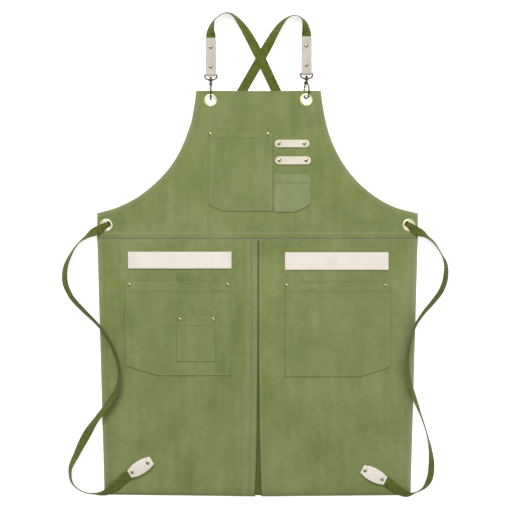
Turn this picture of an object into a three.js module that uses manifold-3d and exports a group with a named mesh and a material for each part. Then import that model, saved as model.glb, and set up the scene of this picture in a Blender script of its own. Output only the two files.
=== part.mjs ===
// A cross-back apron laid out flat: canvas bib, two skirt panels over an underlay, pockets,
// towel bands, pen loops, webbing straps, leather tabs and tips, eyelets and snap hooks.
// Millimetres, +Z up, +Y towards the neck, the lowest hem on z = 0.
import * as THREE from 'three';
import { mergeVertices } from 'three/addons/utils/BufferGeometryUtils.js';
import Module from 'manifold-3d';

const wasm = await Module();
wasm.setup();

// Canvas panels
const waistWidth = 684;
const hemLineWidth = 653;
const skirtLength = 549;
const bibHeight = 316;
const bibTopWidth = 266;
const sideHeight = 55; // waist seam up to the foot of the armhole
const armholeDrop = 150; // how far the armhole falls steeply from the bib top
const armholeReach = 130; // how far it then runs out towards the side
const wall = 1.0; // one layer of canvas
const hem = 12;
const hemWall = 2.2; // a turned hem, stitched flat
const topFacing = 36; // the deep hem that carries the bib eyelets
const slitX = 1.5; // the centre split stands a little right of the middle
const slitTop = 0.6;
const slitBottom = 13.6;
const underlayWidth = 64;
const underlayShort = 2; // how far the underlay stays above the skirt hem
const gap = 0.3; // clearance between pieces that touch

// Webbing
const webWidth = 20;
const webThick = 1.3;
const tabShift = 3; // the left tab hangs this far inside its eyelet
const rightTabShift = 2; // the right one this far outside its own
const tabRise = 113; // top of the left tab above the bib
const rightTabRise = 116;
const crossingX = 7;
const crossingRise = 69.6; // where the straps cross, above the bib
const crossingSlope = 0.472; // sideways for each step down, below the crossing
const archRise = 96; // crossing up to the top of the left arch
const rightArchRise = 91;
const tieSpread = 74.3; // furthest the waist ties swing out past the skirt's side
const tipLength = 56;
const tipWidth = 29;
const tipEndWidth = 18;

// Leather
const tabWidth = 22;
const tabLength = 82;
const tabLeather = 1.7;
const tipLeather = 1.5;
const trimLeather = 1.8; // pen loops and towel bands

// Hardware
const eyeletOuter = 28.5;
const eyeletHole = 16;
const eyeletPlate = 0.8;
const bibEyeletIn = 30.5; // centre in from the bib's top corner
const bibEyeletDown = 19; // centre below the bib's top edge
const waistEyeletIn = 19.5; // centre in from the waist's side edge
const waistEyeletUp = 29.4;
const loopWire = 3.2;
const loopWidth = 29.5;
const loopDrop = 12; // bar to the swivel boss
const bossWidth = 9.5;
const hookWire = 3.2;
const hookSpread = 13.5; // between the centre lines of the two legs
const hookLength = 30.5; // boss to the centre of the bend
const gateWidth = 2.2;
const pinDiameter = 1.6;
const rivetCap = 8.4;
const rivetHeight = 1.3;
const rivetPost = 2.6;

// Patch pockets, bands and loops: centre, top and size as shares of the half width and height of
// what they lie on; the cut corner and the rivet places as shares of the piece itself
const pockets = [
  {
    name: 'chest_pocket', on: 'bib', across: -0.273, top: 0.728, wide: 1.041, high: 0.541,
    cut: 'left', cutWide: 0.224, cutHigh: 0.076, rows: 6, rivets: { down: 0.038, left: 0.04, right: 0.072 },
  },
  {
    name: 'pen_pocket', on: 'bib', across: 0.57, top: 0.44, wide: 0.609, high: 0.26,
    cut: 'right', cutWide: 0.395, cutHigh: 0.195, rows: 4,
  },
  {
    name: 'left_pocket', on: 'skirt', across: -0.501, top: -0.162, wide: 0.658, high: 0.37,
    cut: 'left', cutWide: 0.32, cutHigh: 0.108, rows: 6, rivets: { down: 0.044, left: 0.048, right: 0.019 },
  },
  {
    name: 'right_pocket', on: 'skirt', across: 0.5015, top: -0.1694, wide: 0.658, high: 0.366,
    cut: 'right', cutWide: 0.284, cutHigh: 0.1, rows: 6, rivets: { down: 0.03, left: 0.0156, right: 0.0467 },
  },
  {
    name: 'tool_pocket', on: 'skirt', across: -0.3845, top: -0.297, wide: 0.2427, high: 0.18,
    rows: 3, rivets: { down: 0.086, left: 0.09, right: 0.048 },
  },
];
const bands = [
  { name: 'towel_band_left', on: 'skirt', across: -0.4854, top: -0.0483, wide: 0.6462, high: 0.0674 },
  { name: 'towel_band_right', on: 'skirt', across: 0.4942, top: -0.0515, wide: 0.6462, high: 0.0683 },
];
const penLoops = [
  {
    name: 'pen_loop_upper', on: 'bib', across: 0.556, top: 0.671, wide: 0.556, high: 0.0538,
    rivets: { down: 0.5, left: 0.122, right: 0.143 },
  },
  {
    name: 'pen_loop_lower', on: 'bib', across: 0.57, top: 0.559, wide: 0.571, high: 0.057,
    rivets: { down: 0.5, left: 0.116, right: 0.129 },
  },
];

// Soft folds that stay in the laid canvas: places as shares of the half waist and of the skirt or bib
const folds = [
  { across: -0.72, along: -0.72, wide: 0.10, long: 0.30, high: 1.3, turn: 12 },
  { across: -0.36, along: -0.84, wide: 0.13, long: 0.20, high: 1.1, turn: -30 },
  { across: 0.30, along: -0.85, wide: 0.12, long: 0.22, high: 1.2, turn: 18 },
  { across: 0.76, along: -0.45, wide: 0.09, long: 0.34, high: 1.1, turn: -6 },
  { across: -0.62, along: 0.12, wide: 0.12, long: 0.12, high: 0.9, turn: 60 },
  { across: 0.55, along: 0.14, wide: 0.12, long: 0.12, high: 1.0, turn: -55 },
];

// Strap stations: along and across as shares of the arch, lean in degrees from lying flat
const leftArch = [
  { over: 0.004, up: 0.63, lean: 44 },
  { over: 0.028, up: 0.741, lean: 62 },
  { over: 0.07, up: 0.845, lean: 79 },
  { over: 0.149, up: 0.922, lean: 84 },
  { over: 0.296, up: 1, lean: 83 },
  { over: 0.39, up: 0.987, lean: 77 },
  { over: 0.481, up: 0.918, lean: 66 },
  { over: 0.581, up: 0.789, lean: 50 },
  { over: 0.688, up: 0.623, lean: 34 },
  { over: 0.803, up: 0.408, lean: 18 },
];
const rightArch = [
  { over: 0.011, up: 0.668, lean: 31 },
  { over: 0.033, up: 0.786, lean: 50 },
  { over: 0.071, up: 0.892, lean: 70 },
  { over: 0.133, up: 0.955, lean: 80 },
  { over: 0.226, up: 0.998, lean: 85 },
  { over: 0.332, up: 0.984, lean: 82 },
  { over: 0.442, up: 0.922, lean: 71 },
  { over: 0.553, up: 0.802, lean: 56 },
  { over: 0.686, up: 0.598, lean: 38 },
  { over: 0.82, up: 0.35, lean: 18 },
];
// Waist ties: out past the skirt's side as a share of the spread, down as a share of eyelet to hem
const leftTie = [
  { out: 0.25, down: 0.038, lean: 54 },
  { out: 0.53, down: 0.068, lean: 82 },
  { out: 0.73, down: 0.108, lean: 78 },
  { out: 0.9, down: 0.16, lean: 64 },
  { out: 0.92, down: 0.212, lean: 60 },
  { out: 0.76, down: 0.262, lean: 66 },
  { out: 0.41, down: 0.314, lean: 69 },
  { out: 0.07, down: 0.356, lean: 74 },
  { out: -0.25, down: 0.404, lean: 75 },
  { out: -0.51, down: 0.471, lean: 74 },
  { out: -0.64, down: 0.542, lean: 78 },
  { out: -0.57, down: 0.599, lean: 71 },
  { out: -0.31, down: 0.655, lean: 68 },
  { out: -0.01, down: 0.711, lean: 54 },
  { out: 0.31, down: 0.774, lean: 27 },
  { out: 0.57, down: 0.84, lean: 49 },
  { out: 0.76, down: 0.904, lean: 72 },
  { out: 0.7, down: 0.954, lean: 80 },
  { out: 0.41, down: 0.987, lean: 82 },
  { out: 0.08, down: 0.996, lean: 78 },
  { out: -0.18, down: 0.986, lean: 52 },
  { out: -0.48, down: 0.966, lean: 15 },
];
const rightTie = [
  { out: 0.22, down: 0.041, lean: 56 },
  { out: 0.47, down: 0.068, lean: 77 },
  { out: 0.66, down: 0.104, lean: 84 },
  { out: 0.8, down: 0.143, lean: 70 },
  { out: 0.82, down: 0.18, lean: 64 },
  { out: 0.7, down: 0.234, lean: 63 },
  { out: 0.46, down: 0.282, lean: 66 },
  { out: 0.16, down: 0.325, lean: 73 },
  { out: -0.1, down: 0.373, lean: 75 },
  { out: -0.26, down: 0.432, lean: 76 },
  { out: -0.33, down: 0.499, lean: 70 },
  { out: -0.26, down: 0.573, lean: 62 },
  { out: -0.14, down: 0.629, lean: 70 },
  { out: -0.01, down: 0.686, lean: 82 },
  { out: 0.19, down: 0.763, lean: 83 },
  { out: 0.34, down: 0.829, lean: 70 },
  { out: 0.41, down: 0.892, lean: 52 },
  { out: 0.34, down: 0.942, lean: 49 },
  { out: 0.16, down: 0.974, lean: 66 },
  { out: -0.06, down: 0.99, lean: 76 },
  { out: -0.3, down: 0.995, lean: 50 },
  { out: -0.56, down: 0.978, lean: 16 },
];

// Levels that follow from the sizes above
const underlayTop = wall;
const skirtRest = hemWall;
const bibRest = webThick + gap + wall;
const overWeb = webThick + gap;
const overWire = hookWire + 3 * gap;
const bibEyeletX = bibTopWidth / 2 - bibEyeletIn;
const bibEyeletY = bibHeight - bibEyeletDown;
const waistEyeletX = waistWidth / 2 - waistEyeletIn;
const bibEyeletTop = overWire + eyeletPlate + gap + hemWall;
const waistEyeletTop = overWeb + eyeletPlate + gap + hemWall;
const centreRest = underlayTop + gap + hemWall;
const eyeletReach = eyeletOuter / 2 + 7;
const crossingY = bibHeight + crossingRise;
const pocketHem = hemWall - 0.4; // two layers at a pocket mouth
const laid = gap * 1.6; // clearance of a patch above the canvas under it

const clamp = THREE.MathUtils.clamp;
const rad = THREE.MathUtils.degToRad;
const ease = (value, from, to) => {
  const t = clamp((value - from) / (to - from), 0, 1);
  return t * t * (3 - 2 * t);
};
const mix = (a, b, t) => a + (b - a) * t;

// Centre, edges and size in millimetres of a patch given in shares
function placed(patch) {
  const [half, tall] = patch.on === 'bib' ? [bibTopWidth / 2, bibHeight] : [waistWidth / 2, skirtLength];
  const x = patch.across * half;
  const wide = patch.wide * half;
  const high = patch.high * tall;
  const top = patch.top * tall;
  return { ...patch, x, wide, high, top, left: x - wide / 2, right: x + wide / 2, bottom: top - high };
}

// Half width of the skirt at a height y below the waist
const skirtHalf = (y) => mix(waistWidth, hemLineWidth, clamp(-y / skirtLength, 0, 1)) / 2;
const slitHalf = (y) => mix(slitTop, slitBottom, clamp(-y / skirtLength, 0, 1) ** 2) / 2;

// Height of the canvas top above the floor before the small folds
function foldHeight(x, y) {
  let height = 0;
  for (const fold of folds) {
    const length = fold.along < 0 ? skirtLength : bibHeight / 0.5;
    const dx = x - (fold.across * waistWidth) / 2;
    const dy = y - fold.along * length;
    const c = Math.cos(rad(fold.turn));
    const s = Math.sin(rad(fold.turn));
    const u = (dx * c + dy * s) / ((fold.wide * waistWidth) / 2);
    const v = (dy * c - dx * s) / ((fold.long * skirtLength) / 2);
    height += fold.high * Math.exp(-(u * u + v * v) * 1.5);
  }
  return height;
}

function canvasTop(x, y) {
  const aboveWaist = ease(y, -40, 0);
  let top = mix(skirtRest, bibRest, aboveWaist);
  const nearSlit = 1 - ease(Math.abs(x - slitX), underlayWidth / 2 + 4, underlayWidth / 2 + 50);
  top += (centreRest - skirtRest) * nearSlit * (1 - aboveWaist * ease(y, 0, 60));
  const facing = ease(y, bibHeight - topFacing - 40, bibHeight - topFacing - 4);
  top = Math.max(top, mix(bibRest, overWeb + hemWall, facing) * (y > 0 ? 1 : 0));
  top += foldHeight(x, y);
  for (const side of [-1, 1]) {
    const fromBib = Math.hypot(x - side * bibEyeletX, y - bibEyeletY);
    top = mix(top, Math.max(top, bibEyeletTop), 1 - ease(fromBib, eyeletReach, eyeletReach + 45));
    const fromWaist = Math.hypot(x - side * waistEyeletX, y - waistEyeletUp);
    top = mix(top, waistEyeletTop, 1 - ease(fromWaist, eyeletReach, eyeletReach + 40));
  }
  return top;
}

// Turns a list of corner positions and triangle indices into a geometry
function geometryFrom(positions, index) {
  const geometry = new THREE.BufferGeometry();
  geometry.setAttribute('position', new THREE.Float32BufferAttribute(positions, 3));
  geometry.setIndex(index);
  return geometry;
}

// The same skin with shared corners merged and its faces turned outwards
function tidied(geometry) {
  const bare = geometry.clone();
  bare.deleteAttribute('normal');
  bare.deleteAttribute('uv');
  const merged = mergeVertices(bare, 1e-3);
  const place = merged.attributes.position;
  const source = merged.index.array;
  const [a, b, c] = [0, 1, 2].map(() => new THREE.Vector3());
  let volume = 0;
  const index = [];
  for (let i = 0; i < source.length; i += 3) {
    const corners = [source[i], source[i + 1], source[i + 2]];
    if (new Set(corners).size < 3) continue;
    [a, b, c].forEach((point, k) => point.fromBufferAttribute(place, corners[k]));
    volume += a.dot(b.cross(c));
    index.push(...corners);
  }
  return geometryFrom(Array.from(place.array), volume < 0 ? index.reverse() : index);
}

function solidFrom(geometry) {
  const merged = tidied(geometry);
  return new wasm.Manifold(new wasm.Mesh({
    numProp: 3,
    vertProperties: Float32Array.from(merged.attributes.position.array),
    triVerts: Uint32Array.from(merged.index.array),
  }));
}

function geometryOf(solid) {
  const mesh = solid.getMesh();
  return geometryFrom(Array.from(mesh.vertProperties), Array.from(mesh.triVerts));
}

function cut(geometry, tools) {
  const cutters = tools.map(solidFrom);
  return geometryOf(cutters.reduce((solid, cutter) => solid.subtract(cutter), solidFrom(geometry)));
}

function join(geometries) {
  return geometryOf(geometries.map(solidFrom).reduce((sum, solid) => sum.add(solid)));
}

// Round post along z between two heights
function post(x, y, radius, low, high, sides = 8) {
  const geometry = new THREE.CylinderGeometry(radius, radius, high - low, sides);
  geometry.rotateX(Math.PI / 2);
  geometry.translate(x, y, (low + high) / 2);
  return geometry;
}

// Closed skin through rings of points: caps both ends, or joins the last ring to the first
function skin(rings, closed = false) {
  const positions = [];
  const index = [];
  const count = rings[0].length;
  for (const ring of rings) {
    for (const point of ring) positions.push(point.x, point.y, point.z);
  }
  const spans = closed ? rings.length : rings.length - 1;
  for (let i = 0; i < spans; i += 1) {
    const a = i * count;
    const b = ((i + 1) % rings.length) * count;
    for (let j = 0; j < count; j += 1) {
      const k = (j + 1) % count;
      index.push(a + j, a + k, b + k, a + j, b + k, b + j);
    }
  }
  if (!closed) {
    const last = (rings.length - 1) * count;
    for (let j = 1; j < count - 1; j += 1) {
      index.push(0, j + 1, j);
      index.push(last, last + j, last + j + 1);
    }
  }
  return geometryFrom(positions, index);
}

// Sheet of cloth over rows of plan points; each point holds its own top height and wall
function sheet(rows) {
  const across = rows[0].length;
  const total = rows.length * across;
  const positions = [];
  for (const row of rows) for (const p of row) positions.push(p.x, p.y, p.top);
  for (const row of rows) for (const p of row) positions.push(p.x, p.y, p.top - p.wall);
  const index = [];
  const quad = (a, b, c, d) => index.push(a, b, c, a, c, d);
  for (let i = 0; i < rows.length - 1; i += 1) {
    for (let j = 0; j < across - 1; j += 1) {
      const a = i * across + j;
      const b = a + 1;
      const c = b + across;
      const d = a + across;
      quad(a, b, c, d);
      quad(total + d, total + c, total + b, total + a);
    }
  }
  const border = [];
  for (let j = 0; j < across - 1; j += 1) border.push([j, j + 1]);
  for (let i = 0; i < rows.length - 1; i += 1) border.push([(i + 1) * across - 1, (i + 2) * across - 1]);
  for (let j = across - 1; j > 0; j -= 1) border.push([total - across + j, total - across + j - 1]);
  for (let i = rows.length - 1; i > 0; i -= 1) border.push([i * across, (i - 1) * across]);
  for (const [a, b] of border) quad(a, total + a, total + b, b);
  return geometryFrom(positions, index);
}

// Armhole edge, t = 0 at the side corner and 1 at the bib top
const armhole = new THREE.CubicBezierCurve(
  new THREE.Vector2(waistWidth / 2, sideHeight),
  new THREE.Vector2(waistWidth / 2 - armholeReach * 0.972, sideHeight + armholeReach * 0.238),
  new THREE.Vector2(bibTopWidth / 2 + armholeDrop * 0.17, bibHeight - armholeDrop * 0.985),
  new THREE.Vector2(bibTopWidth / 2, bibHeight),
);

function armholeAt(height) {
  let low = 0;
  let high = 1;
  for (let i = 0; i < 30; i += 1) {
    const t = (low + high) / 2;
    if (armhole.getPoint(t).y < height) low = t;
    else high = t;
  }
  return (low + high) / 2;
}

// Bib: rows follow the armhole and flatten towards the middle
function bibGeometry() {
  const foot = armholeAt(bibHeight - topFacing - gap * 3);
  const facing = armholeAt(bibHeight - topFacing);
  const edges = [
    { edge: new THREE.Vector2(waistWidth / 2, gap / 2), normal: new THREE.Vector2(-1, 0), mid: gap / 2 },
    { edge: new THREE.Vector2(waistWidth / 2, sideHeight * 0.5), normal: new THREE.Vector2(-1, 0), mid: 26 },
  ];
  const level = armholeAt(bibHeight - topFacing - 42);
  const shares = [0, 0.1, 0.24, 0.4, 0.56, 0.7, level, foot, facing, 1];
  for (const t of shares) {
    const edge = armhole.getPoint(t);
    const tangent = armhole.getTangent(t);
    const normal = new THREE.Vector2(-tangent.y, tangent.x);
    if (t === 0) normal.set(-1, -1).multiplyScalar(0.8);
    if (normal.x > 0) normal.negate();
    edges.push({ edge, normal, mid: t < level ? mix(52, armhole.getPoint(0.7).y, t / 0.7) : edge.y });
  }
  const spans = [0.86, 0.7, 0.54, 0.38, 0.24, 0.12, 0];
  return sheet(edges.map(({ edge, normal, mid }, i) => {
    const flat = i === 0 || i >= edges.length - 3;
    const inner = edge.clone().addScaledVector(normal, flat ? 0 : hem);
    const inner2 = edge.clone().addScaledVector(normal, flat ? 0 : hem + 1);
    if (flat) {
      inner.x -= hem;
      inner2.x -= hem + 1;
    }
    const half = [{ x: edge.x, y: edge.y }, { x: inner.x, y: inner.y }, { x: inner2.x, y: inner2.y }];
    for (const share of spans) half.push({ x: inner2.x * share, y: mix(mid, inner2.y, share ** 2) });
    const row = [...half.slice(0, -1).map((p) => ({ x: -p.x, y: p.y })), ...half.reverse()];
    return row.map((p, j) => {
      const side = Math.min(j, row.length - 1 - j);
      const corner = Math.abs(p.x) > waistEyeletX - eyeletReach && i < 6;
      const thick = side < 2 || i >= edges.length - 2 || corner;
      return { ...p, top: canvasTop(p.x, p.y), wall: thick ? hemWall : wall };
    });
  }));
}

// One skirt panel, side -1 left and 1 right
function skirtGeometry(side, facing) {
  const downs = [0, 0.05, 0.14, 0.26, 0.38, 0.5, 0.62, 0.74, 0.87];
  const ys = downs.map((share) => -share * skirtLength - gap / 2);
  ys.push(-skirtLength + hem + 1, -skirtLength + hem, -skirtLength);
  const rows = ys.map((y, i) => {
    const outer = side * skirtHalf(y);
    const inner = slitX + side * slitHalf(y);
    const width = Math.abs(outer - inner);
    const spots = [0, hem, hem + 1];
    for (const share of [0.16, 0.31, 0.46, 0.6, 0.74, 0.87]) spots.push(share * width);
    spots.push(width - facing - 1, width - facing, width);
    return spots.map((spot, j) => {
      const x = outer - side * spot;
      const thick = j < 2 || j > spots.length - 3 || i >= ys.length - 2;
      return { x, y, top: canvasTop(x, y), wall: thick ? hemWall : wall };
    });
  });
  if (side < 0) rows.reverse();
  return sheet(rows);
}

function underlayGeometry() {
  const rows = [0, 0.2, 0.4, 0.6, 0.8, 1].map((share) => {
    const y = mix(-3, -skirtLength + underlayShort, share);
    return [-1, 0, 1].map((side) => (
      { x: slitX + (side * underlayWidth) / 2, y, top: underlayTop, wall: underlayTop }
    ));
  });
  return sheet(rows.reverse());
}

// Patch pocket: lies close at its edges, stands off a little inside and at its open mouth
function pocketGeometry(pocket, under) {
  const columns = Math.max(4, Math.round(pocket.wide / 38));
  const rows = [];
  const heights = [0, 0.5 / pocket.rows];
  for (let i = 1; i <= pocket.rows; i += 1) heights.push(i / pocket.rows);
  const mouth = 1 - 20 / pocket.high;
  heights[heights.length - 2] = mouth - 1 / pocket.high;
  heights.splice(heights.length - 1, 0, mouth);
  for (const v of heights) {
    const row = [];
    for (let j = 0; j <= columns; j += 1) {
      const u = (j / columns) * 2 - 1;
      const x = pocket.x + (u * pocket.wide) / 2;
      const y = pocket.top - pocket.high * (1 - v);
      const bulge = (1 - u * u) * (1.2 * v + 0.5 * (v > 0 ? 1 : 0));
      const thick = v >= mouth;
      row.push({ x, y, wall: thick ? pocketHem : wall, stand: bulge });
    }
    rows.push(row);
  }
  for (const p of rows.flat()) p.top = under(p.x, p.y) + laid + p.stand + p.wall;
  const flat = sheet(rows);
  if (!pocket.cut) return flat;
  const side = pocket.cut === 'left' ? -1 : 1;
  const x = pocket.x + (side * pocket.wide) / 2;
  const along = pocket.cutWide * pocket.wide;
  const up = pocket.cutHigh * pocket.high;
  const past = 5; // the cutting shape stands this far outside the corner
  const corner = new THREE.Shape([
    new THREE.Vector2(x + side * past, pocket.bottom - past),
    new THREE.Vector2(x + side * past, pocket.bottom + up * (1 + past / along)),
    new THREE.Vector2(x - side * along * (1 + past / up), pocket.bottom - past),
  ]);
  return cut(flat, [new THREE.ExtrudeGeometry(corner, { depth: 40, bevelEnabled: false })]);
}

// Flat leather strip lying over canvas, with square or round ends
function stripGeometry(strip, under, round) {
  const columns = round ? 8 : 7;
  const rows = [-1, 0, 1].map((v) => {
    const row = [];
    for (let j = 0; j <= columns; j += 1) {
      const u = (j / columns) * 2 - 1;
      const pull = round ? Math.sqrt(1 - 0.55 * ease(Math.abs(u), 0.8, 1)) : 1;
      const inset = round && v !== 0 ? -Math.sign(u) * 3.5 * ease(Math.abs(u), 0.9, 1) : 0;
      const x = strip.x + (u * strip.wide) / 2 + inset;
      const y = strip.top - strip.high / 2 + (v * strip.high * pull) / 2;
      row.push({ x, y, wall: trimLeather, top: under(x, y) + laid + trimLeather });
    }
    return row;
  });
  return sheet(rows);
}

// Eyelet: a channel ring that grips the canvas between its two plates
function eyeletGeometry(x, y, top) {
  const hole = eyeletHole / 2;
  const outer = eyeletOuter / 2;
  const high = top + gap;
  const low = top - hemWall - gap;
  const barrel = hole + eyeletPlate;
  const profile = [
    [barrel, low], [outer - 1.5, low], [outer - 1.5, low - eyeletPlate], [hole, low - eyeletPlate],
    [hole, high + eyeletPlate * 0.4], [hole + 1.6, high + eyeletPlate * 1.5],
    [outer - 1.8, high + eyeletPlate * 1.2], [outer, high], [barrel, high], [barrel, low],
  ].map(([r, z]) => new THREE.Vector2(r, z));
  const geometry = new THREE.LatheGeometry(profile, 14);
  geometry.rotateX(Math.PI / 2);
  geometry.translate(x, y, 0);
  return geometry;
}

// Domed rivet with its post down to a given height
function rivetGeometry(x, y, seat, foot) {
  const r = rivetCap / 2;
  const profile = [
    [0, foot], [rivetPost / 2, foot], [rivetPost / 2, seat], [r, seat],
    [r * 0.72, seat + rivetHeight * 0.75], [0, seat + rivetHeight],
  ].map(([radius, z]) => new THREE.Vector2(radius, z));
  const geometry = new THREE.LatheGeometry(profile, 8);
  geometry.rotateX(Math.PI / 2);
  geometry.translate(x, y, 0);
  return geometry;
}

// Smooth values between stations, with no overshoot in the columns that must not swing past
function smooth(stations, columns, steps) {
  const spans = stations.slice(1).map((to, i) => {
    const from = stations[i];
    return Math.hypot(to.x - from.x, to.y - from.y, to.level - from.level);
  });
  const slope = (key, i) => {
    if (i === 0 || i === stations.length - 1) {
      const a = i === 0 ? 0 : i - 1;
      return (stations[a + 1][key] - stations[a][key]) / spans[a];
    }
    const before = (stations[i][key] - stations[i - 1][key]) / spans[i - 1];
    const after = (stations[i + 1][key] - stations[i][key]) / spans[i];
    const blended = (before * spans[i] + after * spans[i - 1]) / (spans[i] + spans[i - 1]);
    if (key === 'x' || key === 'y') return blended;
    return before * after <= 0 ? 0 : blended;
  };
  const result = [];
  for (let i = 0; i < stations.length - 1; i += 1) {
    const count = stations[i].steps ?? steps;
    for (let k = 0; k < count; k += 1) {
      const t = k / count;
      const point = {};
      for (const key of columns) {
        const m0 = slope(key, i) * spans[i];
        const m1 = slope(key, i + 1) * spans[i];
        const a = stations[i][key];
        const b = stations[i + 1][key];
        point[key] = a + m0 * t + (3 * (b - a) - 2 * m0 - m1) * t * t + (2 * (a - b) + m0 + m1) * t ** 3;
      }
      result.push(point);
    }
  }
  result.push(stations[stations.length - 1]);
  return result;
}

// Webbing through stations; lean turns it about its own length, towards the side given
function ribbonGeometry(stations, side) {
  const path = smooth(stations, ['x', 'y', 'level', 'lean', 'wide', 'crease', 'thick'], 2);
  for (const p of path) {
    p.z = p.level + p.crease + 0.5 * (p.wide * Math.sin(rad(p.lean)) + p.thick * Math.cos(rad(p.lean)));
  }
  const rings = path.map((p, i) => {
    const before = path[Math.max(i - 1, 0)];
    const after = path[Math.min(i + 1, path.length - 1)];
    const tangent = new THREE.Vector3(after.x - before.x, after.y - before.y, after.z - before.z).normalize();
    const left = new THREE.Vector3(-(after.y - before.y), after.x - before.x, 0).normalize();
    const face = new THREE.Vector3().crossVectors(tangent, left).normalize();
    const turn = rad(p.lean) * side;
    const across = left.clone().multiplyScalar(Math.cos(turn)).addScaledVector(face, Math.sin(turn));
    const up = face.clone().multiplyScalar(Math.cos(turn)).addScaledVector(left, -Math.sin(turn));
    const centre = new THREE.Vector3(p.x, p.y, p.z);
    const at = (a, b) => centre.clone().addScaledVector(across, a).addScaledVector(up, b);
    const half = p.wide / 2;
    const t = p.thick / 2;
    const drop = p.crease;
    return [
      at(half, t - drop), at(half, -t - drop), at(0, -t),
      at(-half, -t - drop), at(-half, t - drop), at(0, t),
    ];
  });
  return skin(rings);
}

const flatWeb = { lean: 0, wide: webWidth, crease: 0, thick: webThick };

// Level that a waist tie lies on: the canvas inside the skirt's outline, the floor outside it
function tieLevel(x, y) {
  const outX = Math.max(0, Math.abs(x) - skirtHalf(y));
  const outY = Math.max(0, -skirtLength - y);
  const inside = 1 - ease(Math.hypot(outX, outY), webWidth * 0.55, webWidth * 1.7);
  const nearest = clamp(x, -skirtHalf(y), skirtHalf(y));
  return (canvasTop(nearest, Math.max(y, -skirtLength)) + laid) * inside;
}

// Strap stations from its leather tab over the arch, behind the bib, up the eyelet and down the tie
function strapStations(plan) {
  const { start, tabTop, rise, arch, overCross, exit, tie, tip } = plan;
  const tabLevel = tabLeather + gap;
  const stations = [
    { ...flatWeb, x: start, y: tabTop - tabLength + 18, level: tabLevel, steps: 1 },
    { ...flatWeb, x: start, y: tabTop - 12, level: tabLevel, steps: 1 },
    { ...flatWeb, x: start, y: tabTop + 1, level: tabLevel, steps: 2 },
  ];
  for (const row of arch) {
    const x = mix(start, crossingX, row.over);
    const y = crossingY + row.up * rise;
    stations.push({ ...flatWeb, x, y, level: 0, lean: row.lean, steps: 2 });
  }
  const side = -Math.sign(start);
  const bibTopX = crossingX + side * crossingRise * crossingSlope;
  const crossAt = (x, y, level) => stations.push({ ...flatWeb, x, y, level, steps: 1 });
  crossAt(mix(start, crossingX, 0.93), crossingY + rise * 0.14, overCross);
  crossAt(crossingX, crossingY, overCross);
  crossAt(mix(crossingX, bibTopX, 0.4), mix(crossingY, bibHeight, 0.4), overCross);
  crossAt(mix(crossingX, bibTopX, 0.86), mix(crossingY, bibHeight, 0.86), 0);
  const eyeX = side * waistEyeletX;
  const route = new THREE.CubicBezierCurve(
    new THREE.Vector2(bibTopX, bibHeight),
    new THREE.Vector2(bibTopX + side * waistWidth * 0.129, bibHeight * 0.418),
    new THREE.Vector2(eyeX - side * waistWidth * 0.1345, waistEyeletUp + webWidth * 0.9),
    new THREE.Vector2(eyeX - exit.x * webWidth, waistEyeletUp - exit.y * webWidth),
  );
  for (let i = 0; i <= 7; i += 1) {
    const p = route.getPoint(i / 8);
    stations.push({ ...flatWeb, x: p.x, y: p.y, level: 0, steps: 1 });
  }
  // Up through the eyelet, gathered to fit its hole, and out over its rim and the canvas edge
  const rim = waistEyeletTop + gap + eyeletPlate * 1.5;
  const hole = eyeletHole / 2;
  const rising = [
    { along: -18, z: 0.75, wide: 0.84, crease: 0, thick: 1.05 },
    { along: -hole - 4, z: 0.72, wide: 0.7, crease: 0, thick: 1.05 },
    { along: -hole, z: 0.75, wide: 0.6, crease: 0, thick: 1.08 },
    { along: -hole + 2.1, z: 1.0, wide: 0.58, crease: 0.3, thick: 1.1 },
    { along: -hole + 2.9, z: 2.6, wide: 0.58, crease: 1.2, thick: 1.15 },
    { along: -hole + 3.3, z: 4.6, wide: 0.58, crease: 1.6, thick: 1.2 },
    { along: -hole + 4.2, z: rim + 0.9, wide: 0.62, crease: 1.4, thick: 1.2 },
    { along: 0, z: rim + 2.6, wide: 0.7, crease: 1.1, thick: 1.2 },
    { along: hole, z: rim + 2.2, wide: 0.84, crease: 0.7, thick: 1.1 },
    { along: hole + 8, z: rim + 1.7, wide: 0.95, crease: 0.3, thick: 1 },
  ];
  for (const row of rising) {
    const thick = webThick * row.thick;
    stations.push({
      x: eyeX + exit.x * row.along, y: waistEyeletUp + exit.y * row.along,
      level: row.z - row.crease - thick / 2, lean: 0, wide: webWidth * row.wide,
      crease: row.crease, thick, steps: row.along < -hole ? 1 : 2,
    });
  }
  const drop = skirtLength + waistEyeletUp;
  tie.forEach((row, i) => {
    const x = side * (waistWidth / 2 + row.out * tieSpread);
    const y = waistEyeletUp - row.down * drop;
    stations.push({ ...flatWeb, x, y, level: tieLevel(x, y), lean: row.lean, steps: i === 0 ? 3 : 2 });
  });
  const tipLevel = tip.level + tipLeather + gap;
  for (const share of [0.04, 0.35, 0.78]) {
    const x = tip.mouth.x + tip.along.x * tipLength * share;
    const y = tip.mouth.y + tip.along.y * tipLength * share;
    stations.push({ ...flatWeb, x, y, level: tipLevel, steps: 1 });
  }
  return stations;
}

// Leather folded back on itself, open at +y, with a rounder fold where a bar lies in it
function foldedLeather(length, leather, foldInner, inside) {
  const outer = leather + foldInner;
  const shape = new THREE.Shape();
  const flat = Math.min(length * 0.4, foldInner * 4 + leather);
  const topLeg = 2 * leather + inside;
  shape.moveTo(length, 0);
  shape.lineTo(length, leather);
  shape.lineTo(0, leather);
  for (const a of [225, 180, 135, 100]) {
    shape.lineTo(Math.cos(rad(a)) * foldInner, outer + Math.sin(rad(a)) * foldInner);
  }
  shape.lineTo(flat, topLeg - leather);
  shape.lineTo(length, topLeg - leather);
  shape.lineTo(length, topLeg);
  shape.lineTo(flat + leather, topLeg);
  for (const a of [80, 110, 145, 180, 215, 250]) {
    shape.lineTo(Math.cos(rad(a)) * outer, outer + Math.sin(rad(a)) * outer);
  }
  shape.lineTo(0, 0);
  return shape;
}

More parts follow.
